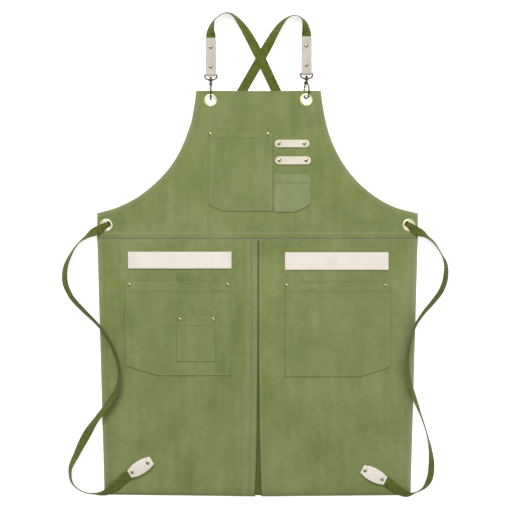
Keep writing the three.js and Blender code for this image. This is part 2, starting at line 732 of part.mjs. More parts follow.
// The folded strip extruded across its width and trimmed to a plan outline
function leatherPiece(profile, width, outline, place) {
  const strip = new THREE.ExtrudeGeometry(profile, { depth: width, bevelEnabled: false });
  strip.translate(0, 0, -width / 2);
  strip.rotateX(Math.PI / 2);
  const plan = new THREE.ExtrudeGeometry(new THREE.Shape(outline), { depth: 40, bevelEnabled: false });
  plan.translate(0, 0, -10);
  const geometry = geometryOf(solidFrom(strip).intersect(solidFrom(plan)));
  geometry.rotateZ(place.turn);
  geometry.translate(place.x, place.y, place.z);
  return geometry;
}

// Wire of round section along points
function wireGeometry(points, radius, sides, closed) {
  const count = points.length;
  const normal = new THREE.Vector3();
  for (let i = 1; i < count - 1; i += 1) {
    normal.add(points[i].clone().sub(points[0]).cross(points[i + 1].clone().sub(points[0])));
  }
  normal.normalize();
  const rings = points.map((point, i) => {
    const before = points[closed ? (i - 1 + count) % count : Math.max(i - 1, 0)];
    const after = points[closed ? (i + 1) % count : Math.min(i + 1, count - 1)];
    const tangent = after.clone().sub(before).normalize();
    const out = new THREE.Vector3().crossVectors(normal, tangent).normalize();
    const ring = [];
    for (let j = 0; j < sides; j += 1) {
      const a = (j / sides) * Math.PI * 2;
      const side = point.clone().addScaledVector(out, Math.cos(a) * radius);
      ring.push(side.addScaledVector(normal, Math.sin(a) * radius));
    }
    return ring;
  });
  return skin(rings, closed);
}

// D-loop with its swivel boss, in its own frame: bar along x at y = 0, boss down at -y
function loopGeometry(barZ, bossZ) {
  const half = (loopWidth - loopWire) / 2;
  const points = [];
  const tilt = (bossZ - barZ) / loopDrop;
  const add = (x, y) => points.push(new THREE.Vector3(x, y, barZ - tilt * y));
  const straight = tabWidth / 2 + 2 * gap;
  for (const x of [-straight, 0, straight]) add(x, 0);
  add(mix(straight, half, 0.8), -0.9);
  for (const a of [0, -25, -50, -75, -90, -105, -130, -155, -180]) {
    const c = Math.cos(rad(a));
    add(Math.sign(c) * Math.abs(c) ** 0.8 * half, -2.8 + Math.sin(rad(a)) * (loopDrop - 2.8));
  }
  add(-mix(straight, half, 0.8), -0.9);
  const ring = wireGeometry(points, loopWire / 2, 6, true);
  const boss = new THREE.CylinderGeometry(bossWidth / 2, bossWidth / 2, 5.4, 12);
  boss.translate(0, -loopDrop, bossZ);
  const bore = new THREE.CylinderGeometry(hookWire / 2 + 0.5, hookWire / 2 + 0.5, 30, 10);
  bore.translate(0, -loopDrop, bossZ);
  return cut(join([ring, boss]), [bore]);
}

// Snap hook in its own plane: y runs back along its length from the bend's centre, x across its legs
const hookHalf = hookSpread / 2;
const hookPivot = { x: -2.3, y: hookLength - 4.4 };
const gateEnd = { x: -hookHalf, y: hookPivot.y - 10.4 };

function hookGeometry() {
  const points = [];
  const add = (x, y) => points.push(new THREE.Vector3(x, y, 0));
  add(0, hookLength + 1);
  add(1.2, hookLength - 3);
  add(4.6, hookLength - 8.5);
  add(hookHalf, hookLength - 14);
  for (let a = 0; a >= -180; a -= 30) add(Math.cos(rad(a)) * hookHalf, Math.sin(rad(a)) * hookHalf);
  add(-hookHalf, gateEnd.y - 1.1);
  const body = wireGeometry(points, hookWire / 2, 6, false);
  const lug = new THREE.CylinderGeometry(3, 3, 5.8, 10);
  lug.rotateX(Math.PI / 2);
  lug.translate(hookPivot.x, hookPivot.y, 0);
  const stem = new THREE.CylinderGeometry(hookWire / 2, hookWire / 2, 11, 8);
  stem.translate(0, hookLength + 4.7, 0);
  const shoulder = new THREE.CylinderGeometry(2.9, 2.4, 2, 10);
  shoulder.translate(0, hookLength - 0.6, 0);
  const head = new THREE.CylinderGeometry(1.6, 3.2, 2, 10);
  head.translate(0, hookLength + 9.3, 0);
  const slot = new THREE.BoxGeometry(12, 15, gateWidth + 0.8);
  slot.translate(hookPivot.x - 6 + 2.9, hookPivot.y - 3.6, 0);
  const pin = new THREE.CylinderGeometry(pinDiameter / 2, pinDiameter / 2, 5.4, 8);
  pin.rotateX(Math.PI / 2);
  pin.translate(hookPivot.x, hookPivot.y, 0);
  return join([cut(join([body, lug, stem, shoulder, head]), [slot]), pin]);
}

function gateGeometry() {
  const dx = gateEnd.x - hookPivot.x;
  const dy = gateEnd.y - hookPivot.y;
  const length = Math.hypot(dx, dy);
  const bar = new THREE.BoxGeometry(2.4, length - 1, gateWidth);
  bar.translate(0, -length / 2 - 0.5, 0);
  bar.rotateZ(Math.atan2(dx, -dy));
  bar.translate(hookPivot.x, hookPivot.y, 0);
  const hub = new THREE.CylinderGeometry(2.2, 2.2, gateWidth, 12);
  hub.rotateX(Math.PI / 2);
  hub.translate(hookPivot.x, hookPivot.y, 0);
  const bore = new THREE.CylinderGeometry(pinDiameter / 2 + gap, pinDiameter / 2 + gap, 10, 8);
  bore.rotateX(Math.PI / 2);
  bore.translate(hookPivot.x, hookPivot.y, 0);
  return cut(join([bar, hub]), [bore]);
}

// Materials
const finishes = {
  canvas: { color: '#7d8a52', roughness: 0.92, metalness: 0 },
  pocket: { color: '#87935c', roughness: 0.92, metalness: 0 },
  webbing: { color: '#5f672d', roughness: 0.85, metalness: 0 },
  leather: { color: '#e2d8ce', roughness: 0.6, metalness: 0 },
  eyelet: { color: '#e6dfb4', roughness: 0.25, metalness: 1 },
  rivet: { color: '#cfc9a6', roughness: 0.25, metalness: 1 },
  brass: { color: '#4a4638', roughness: 0.4, metalness: 1 },
};
const group = new THREE.Group();
function addPiece(name, geometry, finish) {
  const mesh = new THREE.Mesh(tidied(geometry), new THREE.MeshStandardMaterial(finishes[finish]));
  mesh.name = name;
  group.add(mesh);
}

// The tool pocket lies on the left pocket, whose face stands off the skirt by its bulge
const patches = pockets.map(placed);
const leftPocket = patches.find((patch) => patch.name === 'left_pocket');
const onCanvas = (x, y) => canvasTop(x, y);
const onLeftPocket = (x, y) => {
  const u = clamp(((x - leftPocket.x) * 2) / leftPocket.wide, -1, 1);
  const v = clamp((y - leftPocket.bottom) / leftPocket.high, 0, 1);
  return canvasTop(x, y) + laid + wall + (1 - u * u) * (1.2 * v + 0.5) + 0.25;
};
const carrier = (patch) => (patch.name === 'tool_pocket' ? onLeftPocket : onCanvas);

// Rivets: the layers that each holds together and the height of its seat
const rivets = [];
function addRivets(patch, layers, thick, stand) {
  const y = patch.top - patch.rivets.down * patch.high;
  const seat = (x) => carrier(patch)(x, y) + laid + gap + thick + stand;
  const { left, right } = patch.rivets;
  for (const x of [patch.left + left * patch.wide, patch.right - right * patch.wide]) {
    rivets.push({ layers: [patch.name, ...layers], x, y, seat: seat(x) });
  }
}
const strips = penLoops.map(placed);
addRivets(patches[0], ['bib'], pocketHem, 0.45);
addRivets(leftPocket, ['skirt_left'], pocketHem, 0.3);
addRivets(patches[3], ['skirt_right'], pocketHem, 0.3);
for (const strip of strips) addRivets(strip, ['bib'], trimLeather, 0);
addRivets(patches[4], ['left_pocket', 'skirt_left'], pocketHem, 0.7);

const rivetHole = rivetPost / 2 + gap;
const drilled = (name, geometry, ...others) => {
  const holes = rivets.filter((rivet) => rivet.layers.includes(name))
    .map((rivet) => post(rivet.x, rivet.y, rivetHole, -5, 30, 6));
  return holes.length + others.length ? cut(geometry, [...others, ...holes]) : geometry;
};
const eyeletCuts = [-1, 1].flatMap((side) => [
  [side * bibEyeletX, bibEyeletY], [side * waistEyeletX, waistEyeletUp],
]).map(([x, y]) => post(x, y, eyeletHole / 2 + eyeletPlate + gap, -5, 30, 16));

addPiece('bib', drilled('bib', bibGeometry(), ...eyeletCuts), 'canvas');
addPiece('skirt_left', drilled('skirt_left', skirtGeometry(-1, 29)), 'canvas');
addPiece('skirt_right', drilled('skirt_right', skirtGeometry(1, 7)), 'canvas');
addPiece('skirt_underlay', underlayGeometry(), 'canvas');
for (const patch of patches) {
  addPiece(patch.name, drilled(patch.name, pocketGeometry(patch, carrier(patch))), 'pocket');
}
for (const band of bands.map(placed)) addPiece(band.name, stripGeometry(band, onCanvas, false), 'leather');
for (const strip of strips) {
  addPiece(strip.name, drilled(strip.name, stripGeometry(strip, onCanvas, true)), 'leather');
}

for (const side of [-1, 1]) {
  const word = side < 0 ? 'left' : 'right';
  const upper = eyeletGeometry(side * bibEyeletX, bibEyeletY, bibEyeletTop);
  const lower = eyeletGeometry(side * waistEyeletX, waistEyeletUp, waistEyeletTop);
  addPiece(`eyelet_bib_${word}`, upper, 'eyelet');
  addPiece(`eyelet_waist_${word}`, lower, 'eyelet');
}

// Straps with their tabs, tips and hooks; tip mouths and rivets as shares of skirt, tip and tab
const tipPlace = (across, down, x, y) => ({
  mouth: new THREE.Vector2((across * waistWidth) / 2, down * skirtLength), along: new THREE.Vector2(x, y),
});
const sides = [
  {
    word: 'left', start: tabShift - bibEyeletX, tabTop: bibHeight + tabRise,
    rise: archRise, arch: leftArch, overCross: overWeb,
    exit: new THREE.Vector2(0.79, -0.61), tie: rightTie, hookTurn: 90,
    tip: tipPlace(0.797, -0.9388, -0.888, 0.46), tabRivets: [0.244, 0.754], tipRivets: [0.14, 0.869],
  },
  {
    word: 'right', start: bibEyeletX + rightTabShift, tabTop: bibHeight + rightTabRise,
    rise: rightArchRise, arch: rightArch, overCross: 0,
    exit: new THREE.Vector2(-0.86, -0.51), tie: leftTie, hookTurn: 45,
    tip: tipPlace(-0.798, -0.912, 0.853, 0.523), tabRivets: [0.244, 0.744], tipRivets: [0.134, 0.814],
  },
];
const tabThick = 2 * tabLeather + webThick + 2 * gap;
const tipThick = 2 * tipLeather + webThick + 2 * gap;
for (const plan of sides) {
  const barZ = tabLeather + gap + loopWire / 2;
  const foldInner = loopWire / 2 + gap;
  const barY = plan.tabTop - tabLength + foldInner + tabLeather;
  const onTip = (share) => plan.tip.along.clone().multiplyScalar(tipLength * share).add(plan.tip.mouth);
  const onTab = (share) => new THREE.Vector2(plan.start, plan.tabTop - share * tabLength);
  const tabSpots = plan.tabRivets.map(onTab);
  const tipSpots = plan.tipRivets.map(onTip);
  const drill = (spots) => spots.map(({ x, y }) => post(x, y, rivetHole, -5, 20, 6));
  const middle = onTip(0.5);
  const corners = [-1, 0, 1].flatMap((a) => [-1, 0, 1].map((b) => canvasTop(
    middle.x + (plan.tip.along.x * a * tipLength - plan.tip.along.y * b * tipWidth) / 2,
    middle.y + (plan.tip.along.y * a * tipLength + plan.tip.along.x * b * tipWidth) / 2)));
  plan.tip.level = Math.max(...corners) + gap * 1.4;
  const strap = ribbonGeometry(strapStations(plan), plan.start < 0 ? -1 : 1);
  const tieWord = plan.word === 'left' ? 'right' : 'left';
  addPiece(`strap_${plan.word}_shoulder`, cut(strap, drill([...tabSpots, ...tipSpots])), 'webbing');

  const half = tabWidth / 2;
  const reach = tabLength - foldInner - tabLeather;
  const nip = 3; // clipped corners at the tab's end
  const tabOutline = [
    [-10, -half], [reach - nip, -half], [reach, -half + nip],
    [reach, half - nip], [reach - nip, half], [-10, half],
  ].map(([x, y]) => new THREE.Vector2(x, y));
  const tabFold = foldedLeather(reach, tabLeather, foldInner, webThick + 2 * gap);
  const tabAt = { turn: Math.PI / 2, x: plan.start, y: barY, z: 0 };
  const tab = leatherPiece(tabFold, tabWidth, tabOutline, tabAt);
  addPiece(`tab_${plan.word}`, cut(tab, drill(tabSpots)), 'leather');

  const tipInner = webThick / 2 + gap;
  const tipReach = tipLength - tipInner - tipLeather;
  const tipOutline = [];
  for (const bow of [-1, 1]) {
    for (const u of [-1, -0.5, 0, 0.5, 1]) {
      const t = u * -bow;
      const width = tipEndWidth + (tipWidth - tipEndWidth) * (1 - Math.abs(t) ** 2.2);
      const x = (t * tipLength) / 2 + tipLength / 2 - tipInner - tipLeather;
      tipOutline.push(new THREE.Vector2(x, (bow * width) / 2));
    }
  }
  const tipTurn = Math.atan2(plan.tip.along.y, plan.tip.along.x) + Math.PI;
  const tipEnd = onTip(tipReach / tipLength);
  const tipFold = foldedLeather(tipReach, tipLeather, tipInner, webThick + 2 * gap);
  const tip = leatherPiece(tipFold, tipWidth + 4, tipOutline.reverse(),
    { turn: tipTurn, x: tipEnd.x, y: tipEnd.y, z: plan.tip.level });
  addPiece(`tip_${tieWord}`, cut(tip, drill(tipSpots)), 'leather');

  for (const { x, y } of tabSpots) rivets.push({ x, y, seat: tabThick + gap, foot: gap });
  for (const { x, y } of tipSpots) {
    rivets.push({ x, y, seat: plan.tip.level + tipThick + gap, foot: plan.tip.level + gap });
  }

  // Hook plane: 90 degrees stands it on its back leg, less leans it over
  const hookZ = hookWire / 2 + gap / 2 + hookHalf * Math.sin(rad(plan.hookTurn));
  const loop = loopGeometry(barZ, hookZ);
  loop.translate(plan.start, barY, 0);
  addPiece(`d_loop_${plan.word}`, loop, 'brass');
  const bendY = barY - loopDrop - 2.7 - 1.9 - hookLength;
  for (const [word, geometry] of [['snap_hook', hookGeometry()], ['gate', gateGeometry()]]) {
    geometry.rotateY(-rad(plan.hookTurn));
    geometry.translate(plan.start, bendY, hookZ);
    addPiece(`${word}_${plan.word}`, geometry, 'brass');
  }
}

rivets.forEach((rivet, i) => {
  const foot = rivet.foot ?? canvasTop(rivet.x, rivet.y) - wall + 0.2;
  addPiece(`rivet_${i + 1}`, rivetGeometry(rivet.x, rivet.y, rivet.seat, foot), 'rivet');
});

// Origin at the bottom centre of the whole apron
group.updateMatrixWorld(true);
const bounds = new THREE.Box3().setFromObject(group);
const centre = bounds.getCenter(new THREE.Vector3());
group.position.set(-centre.x, -centre.y, -bounds.min.z);
group.updateMatrixWorld(true);

export default group;
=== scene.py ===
import math

import bpy
import numpy as np
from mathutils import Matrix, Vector
from mathutils.bvhtree import BVHTree


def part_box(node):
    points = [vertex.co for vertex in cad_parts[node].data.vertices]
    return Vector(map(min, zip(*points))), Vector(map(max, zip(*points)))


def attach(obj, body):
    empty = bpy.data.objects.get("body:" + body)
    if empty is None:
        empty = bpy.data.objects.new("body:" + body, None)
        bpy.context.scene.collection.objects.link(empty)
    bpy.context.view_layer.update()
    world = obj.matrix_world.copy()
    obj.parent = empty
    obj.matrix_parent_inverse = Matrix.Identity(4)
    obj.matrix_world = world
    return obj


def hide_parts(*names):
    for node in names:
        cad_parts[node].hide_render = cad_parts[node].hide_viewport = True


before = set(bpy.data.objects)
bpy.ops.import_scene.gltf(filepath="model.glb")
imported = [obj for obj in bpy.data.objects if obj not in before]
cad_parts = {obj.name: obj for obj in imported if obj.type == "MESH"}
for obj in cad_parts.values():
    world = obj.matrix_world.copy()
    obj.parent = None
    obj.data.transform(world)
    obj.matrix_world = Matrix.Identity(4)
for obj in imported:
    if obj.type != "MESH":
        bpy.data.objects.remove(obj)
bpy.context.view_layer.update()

# A cross-back apron laid out flat and seen from straight above. Sizes are in millimetres from
# the middle of the waist seam; place() turns them into the frame's metres.
bibLow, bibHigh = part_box("bib")
bibHeight = 316
middleX = (bibLow.x + bibHigh.x) * 500
waistY = bibHigh.y * 1000 - bibHeight


def place(x, y, z):
    return ((x + middleX) / 1000, (y + waistY) / 1000, z / 1000)


def linear(hexColour):
    parts = [int(hexColour[i:i + 2], 16) / 255 for i in (1, 3, 5)]
    return [c / 12.92 if c <= 0.04045 else ((c + 0.055) / 1.055) ** 2.4 for c in parts] + [1]


# Camera, floor and light
studio = {
    "cameraX": -0.0011, "cameraY": 0.0007, "cameraHeight": 3.025, "lens": 100, "sensor": 36, "farthest": 50,
    "floorSize": 14, "floorZ": -0.0004, "floorColour": "#f8f8f7", "floorGlow": 0.6,
    "worldStrength": 0.45,
    "keyPower": 85, "keySize": 1.8, "keyAt": (-0.6, 2.4, 2.7),
    "fillPower": 27, "fillSize": 3.0, "fillAt": (2.4, -0.3, 3.0),
}
camera = bpy.data.objects.new("camera", bpy.data.cameras.new("camera"))
camera.data.lens = studio["lens"]
camera.data.sensor_width = studio["sensor"]
camera.data.clip_end = studio["farthest"]
camera.location = (studio["cameraX"], studio["cameraY"], studio["cameraHeight"])
bpy.context.collection.objects.link(camera)
bpy.context.scene.camera = camera
bpy.context.scene.view_settings.view_transform = "Standard"


def areaLight(name, power, size, at):
    light = bpy.data.objects.new(name, bpy.data.lights.new(name, "AREA"))
    light.data.energy = power
    light.data.size = size
    light.location = at
    light.rotation_euler = (-Vector(at)).to_track_quat("-Z", "Y").to_euler()
    bpy.context.collection.objects.link(light)


areaLight("keyLight", studio["keyPower"], studio["keySize"], studio["keyAt"])
areaLight("fillLight", studio["fillPower"], studio["fillSize"], studio["fillAt"])


def addNode(tree, kind, settings=None, links=None):
    node = tree.nodes.new(kind)
    for key, value in (settings or {}).items():
        if isinstance(key, str) and hasattr(node, key):
            setattr(node, key, value)
        else:
            node.inputs[key].default_value = value
    for key, source in (links or {}).items():
        tree.links.new(source, node.inputs[key])
    return node


world = bpy.data.worlds.new("studioWorld")
world.use_nodes = True
world.node_tree.nodes["Background"].inputs["Color"].default_value = linear("#ffffff")
world.node_tree.nodes["Background"].inputs["Strength"].default_value = studio["worldStrength"]
bpy.context.scene.world = world


def newMaterial(name, settings):
    material = bpy.data.materials.new(name)
    material.use_nodes = True
    shader = material.node_tree.nodes["Principled BSDF"]
    for key, value in settings.items():
        shader.inputs[key].default_value = value
    return material, material.node_tree, shader


def objectCoords(tree):
    return addNode(tree, "ShaderNodeTexCoord").outputs["Object"]


def noise(tree, coords, scale, detail, roughness=0.5):
    settings = {"Scale": scale, "Detail": detail, "Roughness": roughness}
    return addNode(tree, "ShaderNodeTexNoise", settings, {"Vector": coords}).outputs["Fac"]


def maths(tree, operation, links, factor=None):
    settings = {"operation": operation} if factor is None else {"operation": operation, 1: factor}
    return addNode(tree, "ShaderNodeMath", settings, links).outputs[0]


# Map Range: from low, from high, to low, to high
def ranged(tree, source, *ends):
    return addNode(tree, "ShaderNodeMapRange", dict(enumerate(ends, 1)), {0: source}).outputs[0]


def toned(tree, share, dark, light):
    settings = {"data_type": "RGBA", 6: linear(dark), 7: linear(light)}
    return addNode(tree, "ShaderNodeMix", settings, {0: share}).outputs[2]


def bumped(tree, height, strength, distance, under=None):
    links = {"Height": height, "Normal": under} if under else {"Height": height}
    settings = {"Strength": strength, "Distance": distance}
    return addNode(tree, "ShaderNodeBump", settings, links).outputs[0]


def painted(tree, shader, colour, normal):
    tree.links.new(colour, shader.inputs["Base Color"])
    tree.links.new(normal, shader.inputs["Normal"])


# stripes in metres. Canvas threads are 0.8 mm apart and rows of webbing 1 mm; both are drawn
# about twice as wide so that they show at all
threadPitch, rowPitch = 0.0016, 0.0022
waveScale = math.pi / (10 * threadPitch)  # a Wave texture's Scale for that pitch


# Cotton canvas, plain woven and lightly waxed: matt, mottled where it was handled, paler and greyer
# along worn edges and where painted light is laid on, darker where painted shade is laid on
def canvasMaterial(name, look):
    material, tree, shader = newMaterial(name, {
        "Roughness": 0.86, "Specular IOR Level": 0.22, "Sheen Weight": 0.12, "Sheen Roughness": 0.6,
    })
    coords = objectCoords(tree)
    fine = noise(tree, coords, 75, 4, 0.6)
    grain = addNode(tree, "ShaderNodeMapping", {"Scale": (34, 5, 1)}, {"Vector": coords}).outputs[0]
    mottle = maths(tree, "MULTIPLY_ADD",
                   {0: noise(tree, grain, 1, 4, 0.65), 2: noise(tree, coords, 9, 3, 0.55)}, 0.7)
    tone = toned(tree, ranged(tree, mottle, 0.58, 1.12), look["dark"], look["light"])
    colour = addNode(tree, "ShaderNodeMix", {"data_type": "RGBA", "blend_type": "MULTIPLY", 0: 1.0},
                     {6: tone, 7: ranged(tree, fine, 0.3, 0.7, 0.93, 1.06)}).outputs[2]
    # two painted masks: the first pales worn edges and adds painted light, the second darkens with painted
    # shade
    for mark in ("wearAndPaintedLight", "paintedShade"):
        share = addNode(tree, "ShaderNodeAttribute", {"attribute_name": mark}).outputs["Fac"]
        colour = addNode(tree, "ShaderNodeMix", {"data_type": "RGBA", 7: linear(look[mark])},
                         {0: share, 6: colour}).outputs[2]
    warp, weft = (addNode(tree, "ShaderNodeTexWave", {
        "bands_direction": way, "Scale": waveScale, "Distortion": 0.6, "Detail": 1, "Detail Scale": 2,
    }, {"Vector": coords}).outputs["Fac"] for way in "XY")
    woven = bumped(tree, maths(tree, "MULTIPLY", {0: warp, 1: weft}), 0.35, 0.0002)
    slubbed = bumped(tree, fine, 0.3, 0.0006, woven)
    painted(tree, shader, colour, bumped(tree, noise(tree, coords, 21, 5, 0.6), 0.5, 0.0035, slubbed))
    return material


# the last two colours: a paler grey for wear and painted light, and a dark green for painted shade
canvasLook = {"dark": "#717e43", "light": "#8a945d", "wearAndPaintedLight": "#969c78", "paintedShade": "#475126"}
# the underlay's colours are darkened with painted shade, for the slit it lies in
shadeLook = {"dark": "#515b25", "light": "#606a2b", "wearAndPaintedLight": "#5c643a", "paintedShade": "#39421c"}
canvas = canvasMaterial("waxedCottonCanvas", canvasLook)
pocketCanvas = canvasMaterial("pocketCottonCanvas", {**canvasLook, "dark": "#738046"})
penCanvas = canvasMaterial("penPocketCanvas", {**canvasLook, "dark": "#7f8a59", "light": "#939d6d"})
shadeCanvas = canvasMaterial("underlayCanvasPaintedShade", shadeLook)


# Cotton webbing, woven as a flat herringbone tape: matt, darker than the canvas, firm edges
def webbingMaterial():
    material, tree, shader = newMaterial("cottonWebbing", {
        "Roughness": 0.8, "Specular IOR Level": 0.2, "Sheen Weight": 0.05,
    })
    tape = addNode(tree, "ShaderNodeUVMap").outputs[0]
    across, along, _ = addNode(tree, "ShaderNodeSeparateXYZ", None, {0: tape}).outputs
    chevron = maths(tree, "ADD", {0: maths(tree, "ABSOLUTE", {0: across}), 1: along})
    wave = maths(tree, "SINE", {0: maths(tree, "MULTIPLY", {0: chevron}, 2 * math.pi / rowPitch)})
    rows = ranged(tree, wave, -1, 1)
    flecked = maths(tree, "MULTIPLY_ADD", {0: rows, 2: noise(tree, objectCoords(tree), 190, 3)}, 0.45)
    colour = toned(tree, ranged(tree, flecked, 0.35, 1.1), "#3d4415", "#747b31")
    painted(tree, shader, colour, bumped(tree, rows, 0.6, 0.0004))
    return material


webbing = webbingMaterial()


# Vegetable-tanned leather, undyed and smooth: pale cream, a soft low shine, pores 1 mm apart
def leatherMaterial(name, light, dark):
    material, tree, shader = newMaterial(name, {"Roughness": 0.52, "Specular IOR Level": 0.35})
    coords = objectCoords(tree)
    colour = toned(tree, ranged(tree, noise(tree, coords, 30, 4), 0.3, 0.7), dark, light)
    pores = addNode(tree, "ShaderNodeTexVoronoi", {"Scale": 900}, {"Vector": coords}).outputs["Distance"]
    painted(tree, shader, colour, bumped(tree, pores, 0.12, 0.0002))
    return material


leather = leatherMaterial("undyedLeather", "#f2eae0", "#ebe1d6")
loopLeather = leatherMaterial("loopLeather", "#e9dfce", "#e0d5c2")
tabLeather = leatherMaterial("tabLeather", "#cbc4ba", "#c0b8ad")


# Plated steel, polished: pale brass on the eyelets, and on the rivets a darker copy that paints in a dark
# reflection; a dark antique brass on the hooks
def platedSteel(name, colour, roughness):
    return newMaterial(name, {"Base Color": linear(colour), "Metallic": 1, "Roughness": roughness})[0]


paleBrass = platedSteel("paleBrassPlate", "#f8f0c6", 0.4)
# darker than the pale brass: a painted dark reflection
rivetBrassDarkReflection = platedSteel("rivetBrassPaintedReflection", "#b3a980", 0.16)
antiqueBrass = platedSteel("antiqueBrass", "#5d5644", 0.34)
# Polyester sewing thread, a shade lighter than the cloth
thread = newMaterial("sewingThread", {"Base Color": linear("#8c9660"), "Roughness": 0.6})[0]
# Matt white paper, lit from below as well so that it photographs as pure white
floorPaint = newMaterial("floorPaint", {
    "Base Color": linear(studio["floorColour"]), "Roughness": 0.9, "Specular IOR Level": 0.1,
    "Emission Color": linear("#ffffff"), "Emission Strength": studio["floorGlow"],
})[0]


def meshObject(name, points, faces, material, uvs=None):
    mesh = bpy.data.meshes.new(name)
    mesh.from_pydata(points, [], faces)
    mesh.materials.append(material)
    mesh.shade_smooth()
    if uvs is not None:
        layer = mesh.uv_layers.new(name="UVMap")
        layer.data.foreach_set("uv", [c for loop in mesh.loops for c in uvs[loop.vertex_index]])
    thing = bpy.data.objects.new(name, mesh)
    bpy.context.collection.objects.link(thing)
    return thing


# quads between two rings of points that start at a and b, and the flat ends of a run of rings
def band(a, b, sides):
    return [(a + k, a + (k + 1) % sides, b + (k + 1) % sides, b + k) for k in range(sides)]


def ringEnds(rings, sides):
    return [tuple(reversed(range(sides))), tuple(range((rings - 1) * sides, rings * sides))]


half = studio["floorSize"] / 2
corners = [(-half, -half), (half, -half), (half, half), (-half, half)]
floor = meshObject("floor", [(x, y, studio["floorZ"]) for x, y in corners], [(0, 1, 2, 3)], floorPaint)
print("studio ready")

# Canvas: how high its top lies anywhere, with the small folds that it keeps
cloth = {
    "waistWidth": 684, "hemWidth": 653, "skirtLength": 549, "bibTopWidth": 266, "sideHeight": 55,
    "armholeDrop": 150, "armholeReach": 130, "wall": 1.0, "hemWall": 2.2, "hem": 12, "facing": 36,
    "slitX": 1.5, "slitTop": 0.6, "slitBottom": 13.6, "slitPower": 3.4, "underlayWidth": 64, "gap": 0.3,
    "webThick": 1.3, "webWidth": 20, "hookWire": 3.2, "eyeletPlate": 0.8, "eyeletOuter": 28.5,
    "eyeletHole": 16, "ringOuter": 27.4, "ringHole": 18.6, "punch": 20.4,
    "bibEyelet": (102.5, 297), "waistEyelet": (322.5, 29.4),
    "bibSpots": [(-100.2, 295.6), (103.8, 296.6)], "waistSpots": [(-322.5, 29.4), (322.5, 29.4)],
}
overWeb = cloth["webThick"] + cloth["gap"]
bibEyeletTop = cloth["hookWire"] + 4 * cloth["gap"] + cloth["eyeletPlate"] + cloth["hemWall"]
waistEyeletTop = overWeb + cloth["eyeletPlate"] + cloth["gap"] + cloth["hemWall"]
laid = cloth["gap"] * 1.6
# over how many millimetres the canvas comes down from what it lies on
slopes = {"waist": 40, "slitFlat": 4, "slitEnd": 50, "slitRise": 1.3, "slitFade": 60, "facing": 40,
          "facingEnd": 4, "eyeletFlat": 7, "bibEyelet": 45, "waistEyelet": 40, "holeFlat": 12, "holeEnd": 40}

# broad folds: x, y, half widths across and along, how far each stands up, turn in degrees
folds = [
    (-246, -395, 34, 82, 1.3, 12), (-123, -461, 44, 55, 1.1, -30), (103, -467, 41, 60, 1.2, 18),
    (260, -247, 31, 93, 1.1, -6), (-212, 76, 41, 33, 0.9, 60), (188, 88, 41, 33, 1.0, -55),
]
# finer creases of the same kind, as the cloth shows them between and beside its pockets
creases = [
    (-190, 62, 9, 60, 0.8, -52), (-232, 40, 8, 42, 0.6, -70), (176, 52, 9, 64, 0.8, 48),
    (232, 44, 8, 48, 0.6, 66), (150, 130, 8, 50, 0.6, 20), (-128, 150, 8, 52, 0.6, -16),
    (-20, 258, 12, 60, 0.5, 74), (-300, -200, 7, 120, 0.8, 3), (-40, -250, 8, 150, 0.8, -2),
    (44, -240, 8, 160, 0.8, 2), (298, -250, 7, 150, 0.8, -4), (-220, -440, 10, 90, 0.9, -32),
    (-90, -420, 10, 100, 0.8, 22), (120, -430, 10, 90, 0.9, -24), (236, -430, 9, 90, 0.8, 20),
    (-160, -500, 9, 60, 0.7, 62), (190, -500, 9, 60, 0.7, -66),
]


def ease(value, low, high):
    t = np.clip((value - low) / (high - low), 0, 1)
    return t * t * (3 - 2 * t)


def mix(a, b, t):
    return a + (b - a) * t


# 1 on a line and fading to 0 on either side of it
def mark(distance, width, at=0):
    return np.exp(-((distance - at) / width) ** 2)


def downSkirt(y):
    return np.clip(-y / cloth["skirtLength"], 0, 1)


def skirtHalf(y):
    return mix(cloth["waistWidth"], cloth["hemWidth"], downSkirt(y)) / 2


def slitHalf(y):
    return mix(cloth["slitTop"], cloth["slitBottom"], downSkirt(y) ** cloth["slitPower"]) / 2


def ridges(table, x, y):
    height = 0
    for foldX, foldY, wide, long, high, degrees in table:
        turn = math.radians(degrees)
        dx, dy = x - foldX, y - foldY
        u = (dx * math.cos(turn) + dy * math.sin(turn)) / wide
        v = (dy * math.cos(turn) - dx * math.sin(turn)) / long
        height = height + high * np.exp(-(u * u + v * v) * 1.5)
    return height


def canvasTop(x, y):
    aboveWaist = ease(y, -slopes["waist"], 0)
    bibRest = overWeb + cloth["wall"]
    pastUnderlay = abs(x - cloth["slitX"]) - cloth["underlayWidth"] / 2
    nearSlit = 1 - ease(pastUnderlay, slopes["slitFlat"], slopes["slitEnd"])
    top = mix(cloth["hemWall"], bibRest, aboveWaist)
    top = top + slopes["slitRise"] * nearSlit * (1 - aboveWaist * ease(y, 0, slopes["slitFade"]))
    facingFoot = bibHeight - cloth["facing"]
    facing = ease(y, facingFoot - slopes["facing"], facingFoot - slopes["facingEnd"])
    top = np.maximum(top, mix(bibRest, overWeb + cloth["hemWall"], facing) * (y > 0))
    top = top + ridges(folds, x, y)
    reach = cloth["eyeletOuter"] / 2 + slopes["eyeletFlat"]
    for side in (-1, 1):
        fromBib, fromWaist = (fromEyelet(x, y, spot, side) for spot in ("bibEyelet", "waistEyelet"))
        top = mix(top, np.maximum(top, bibEyeletTop), 1 - ease(fromBib, reach, reach + slopes["bibEyelet"]))
        top = mix(top, waistEyeletTop, 1 - ease(fromWaist, reach, reach + slopes["waistEyelet"]))
    return top


def fromEyelet(x, y, spot, side):
    return np.hypot(x - side * cloth[spot][0], y - cloth[spot][1])


def nearHoles(x, y):
    away = 1
    for side in (-1, 1):
        for spot in ("bibEyelet", "waistEyelet"):
            away = away * ease(fromEyelet(x, y, spot, side), slopes["holeFlat"], slopes["holeEnd"])
    return away


# the bib and skirt lie a little lower than the frame's canvas, with creases and a slow ripple
settled = {"bib": 0.22, "skirt": 0.5, "ripple": 0.12}


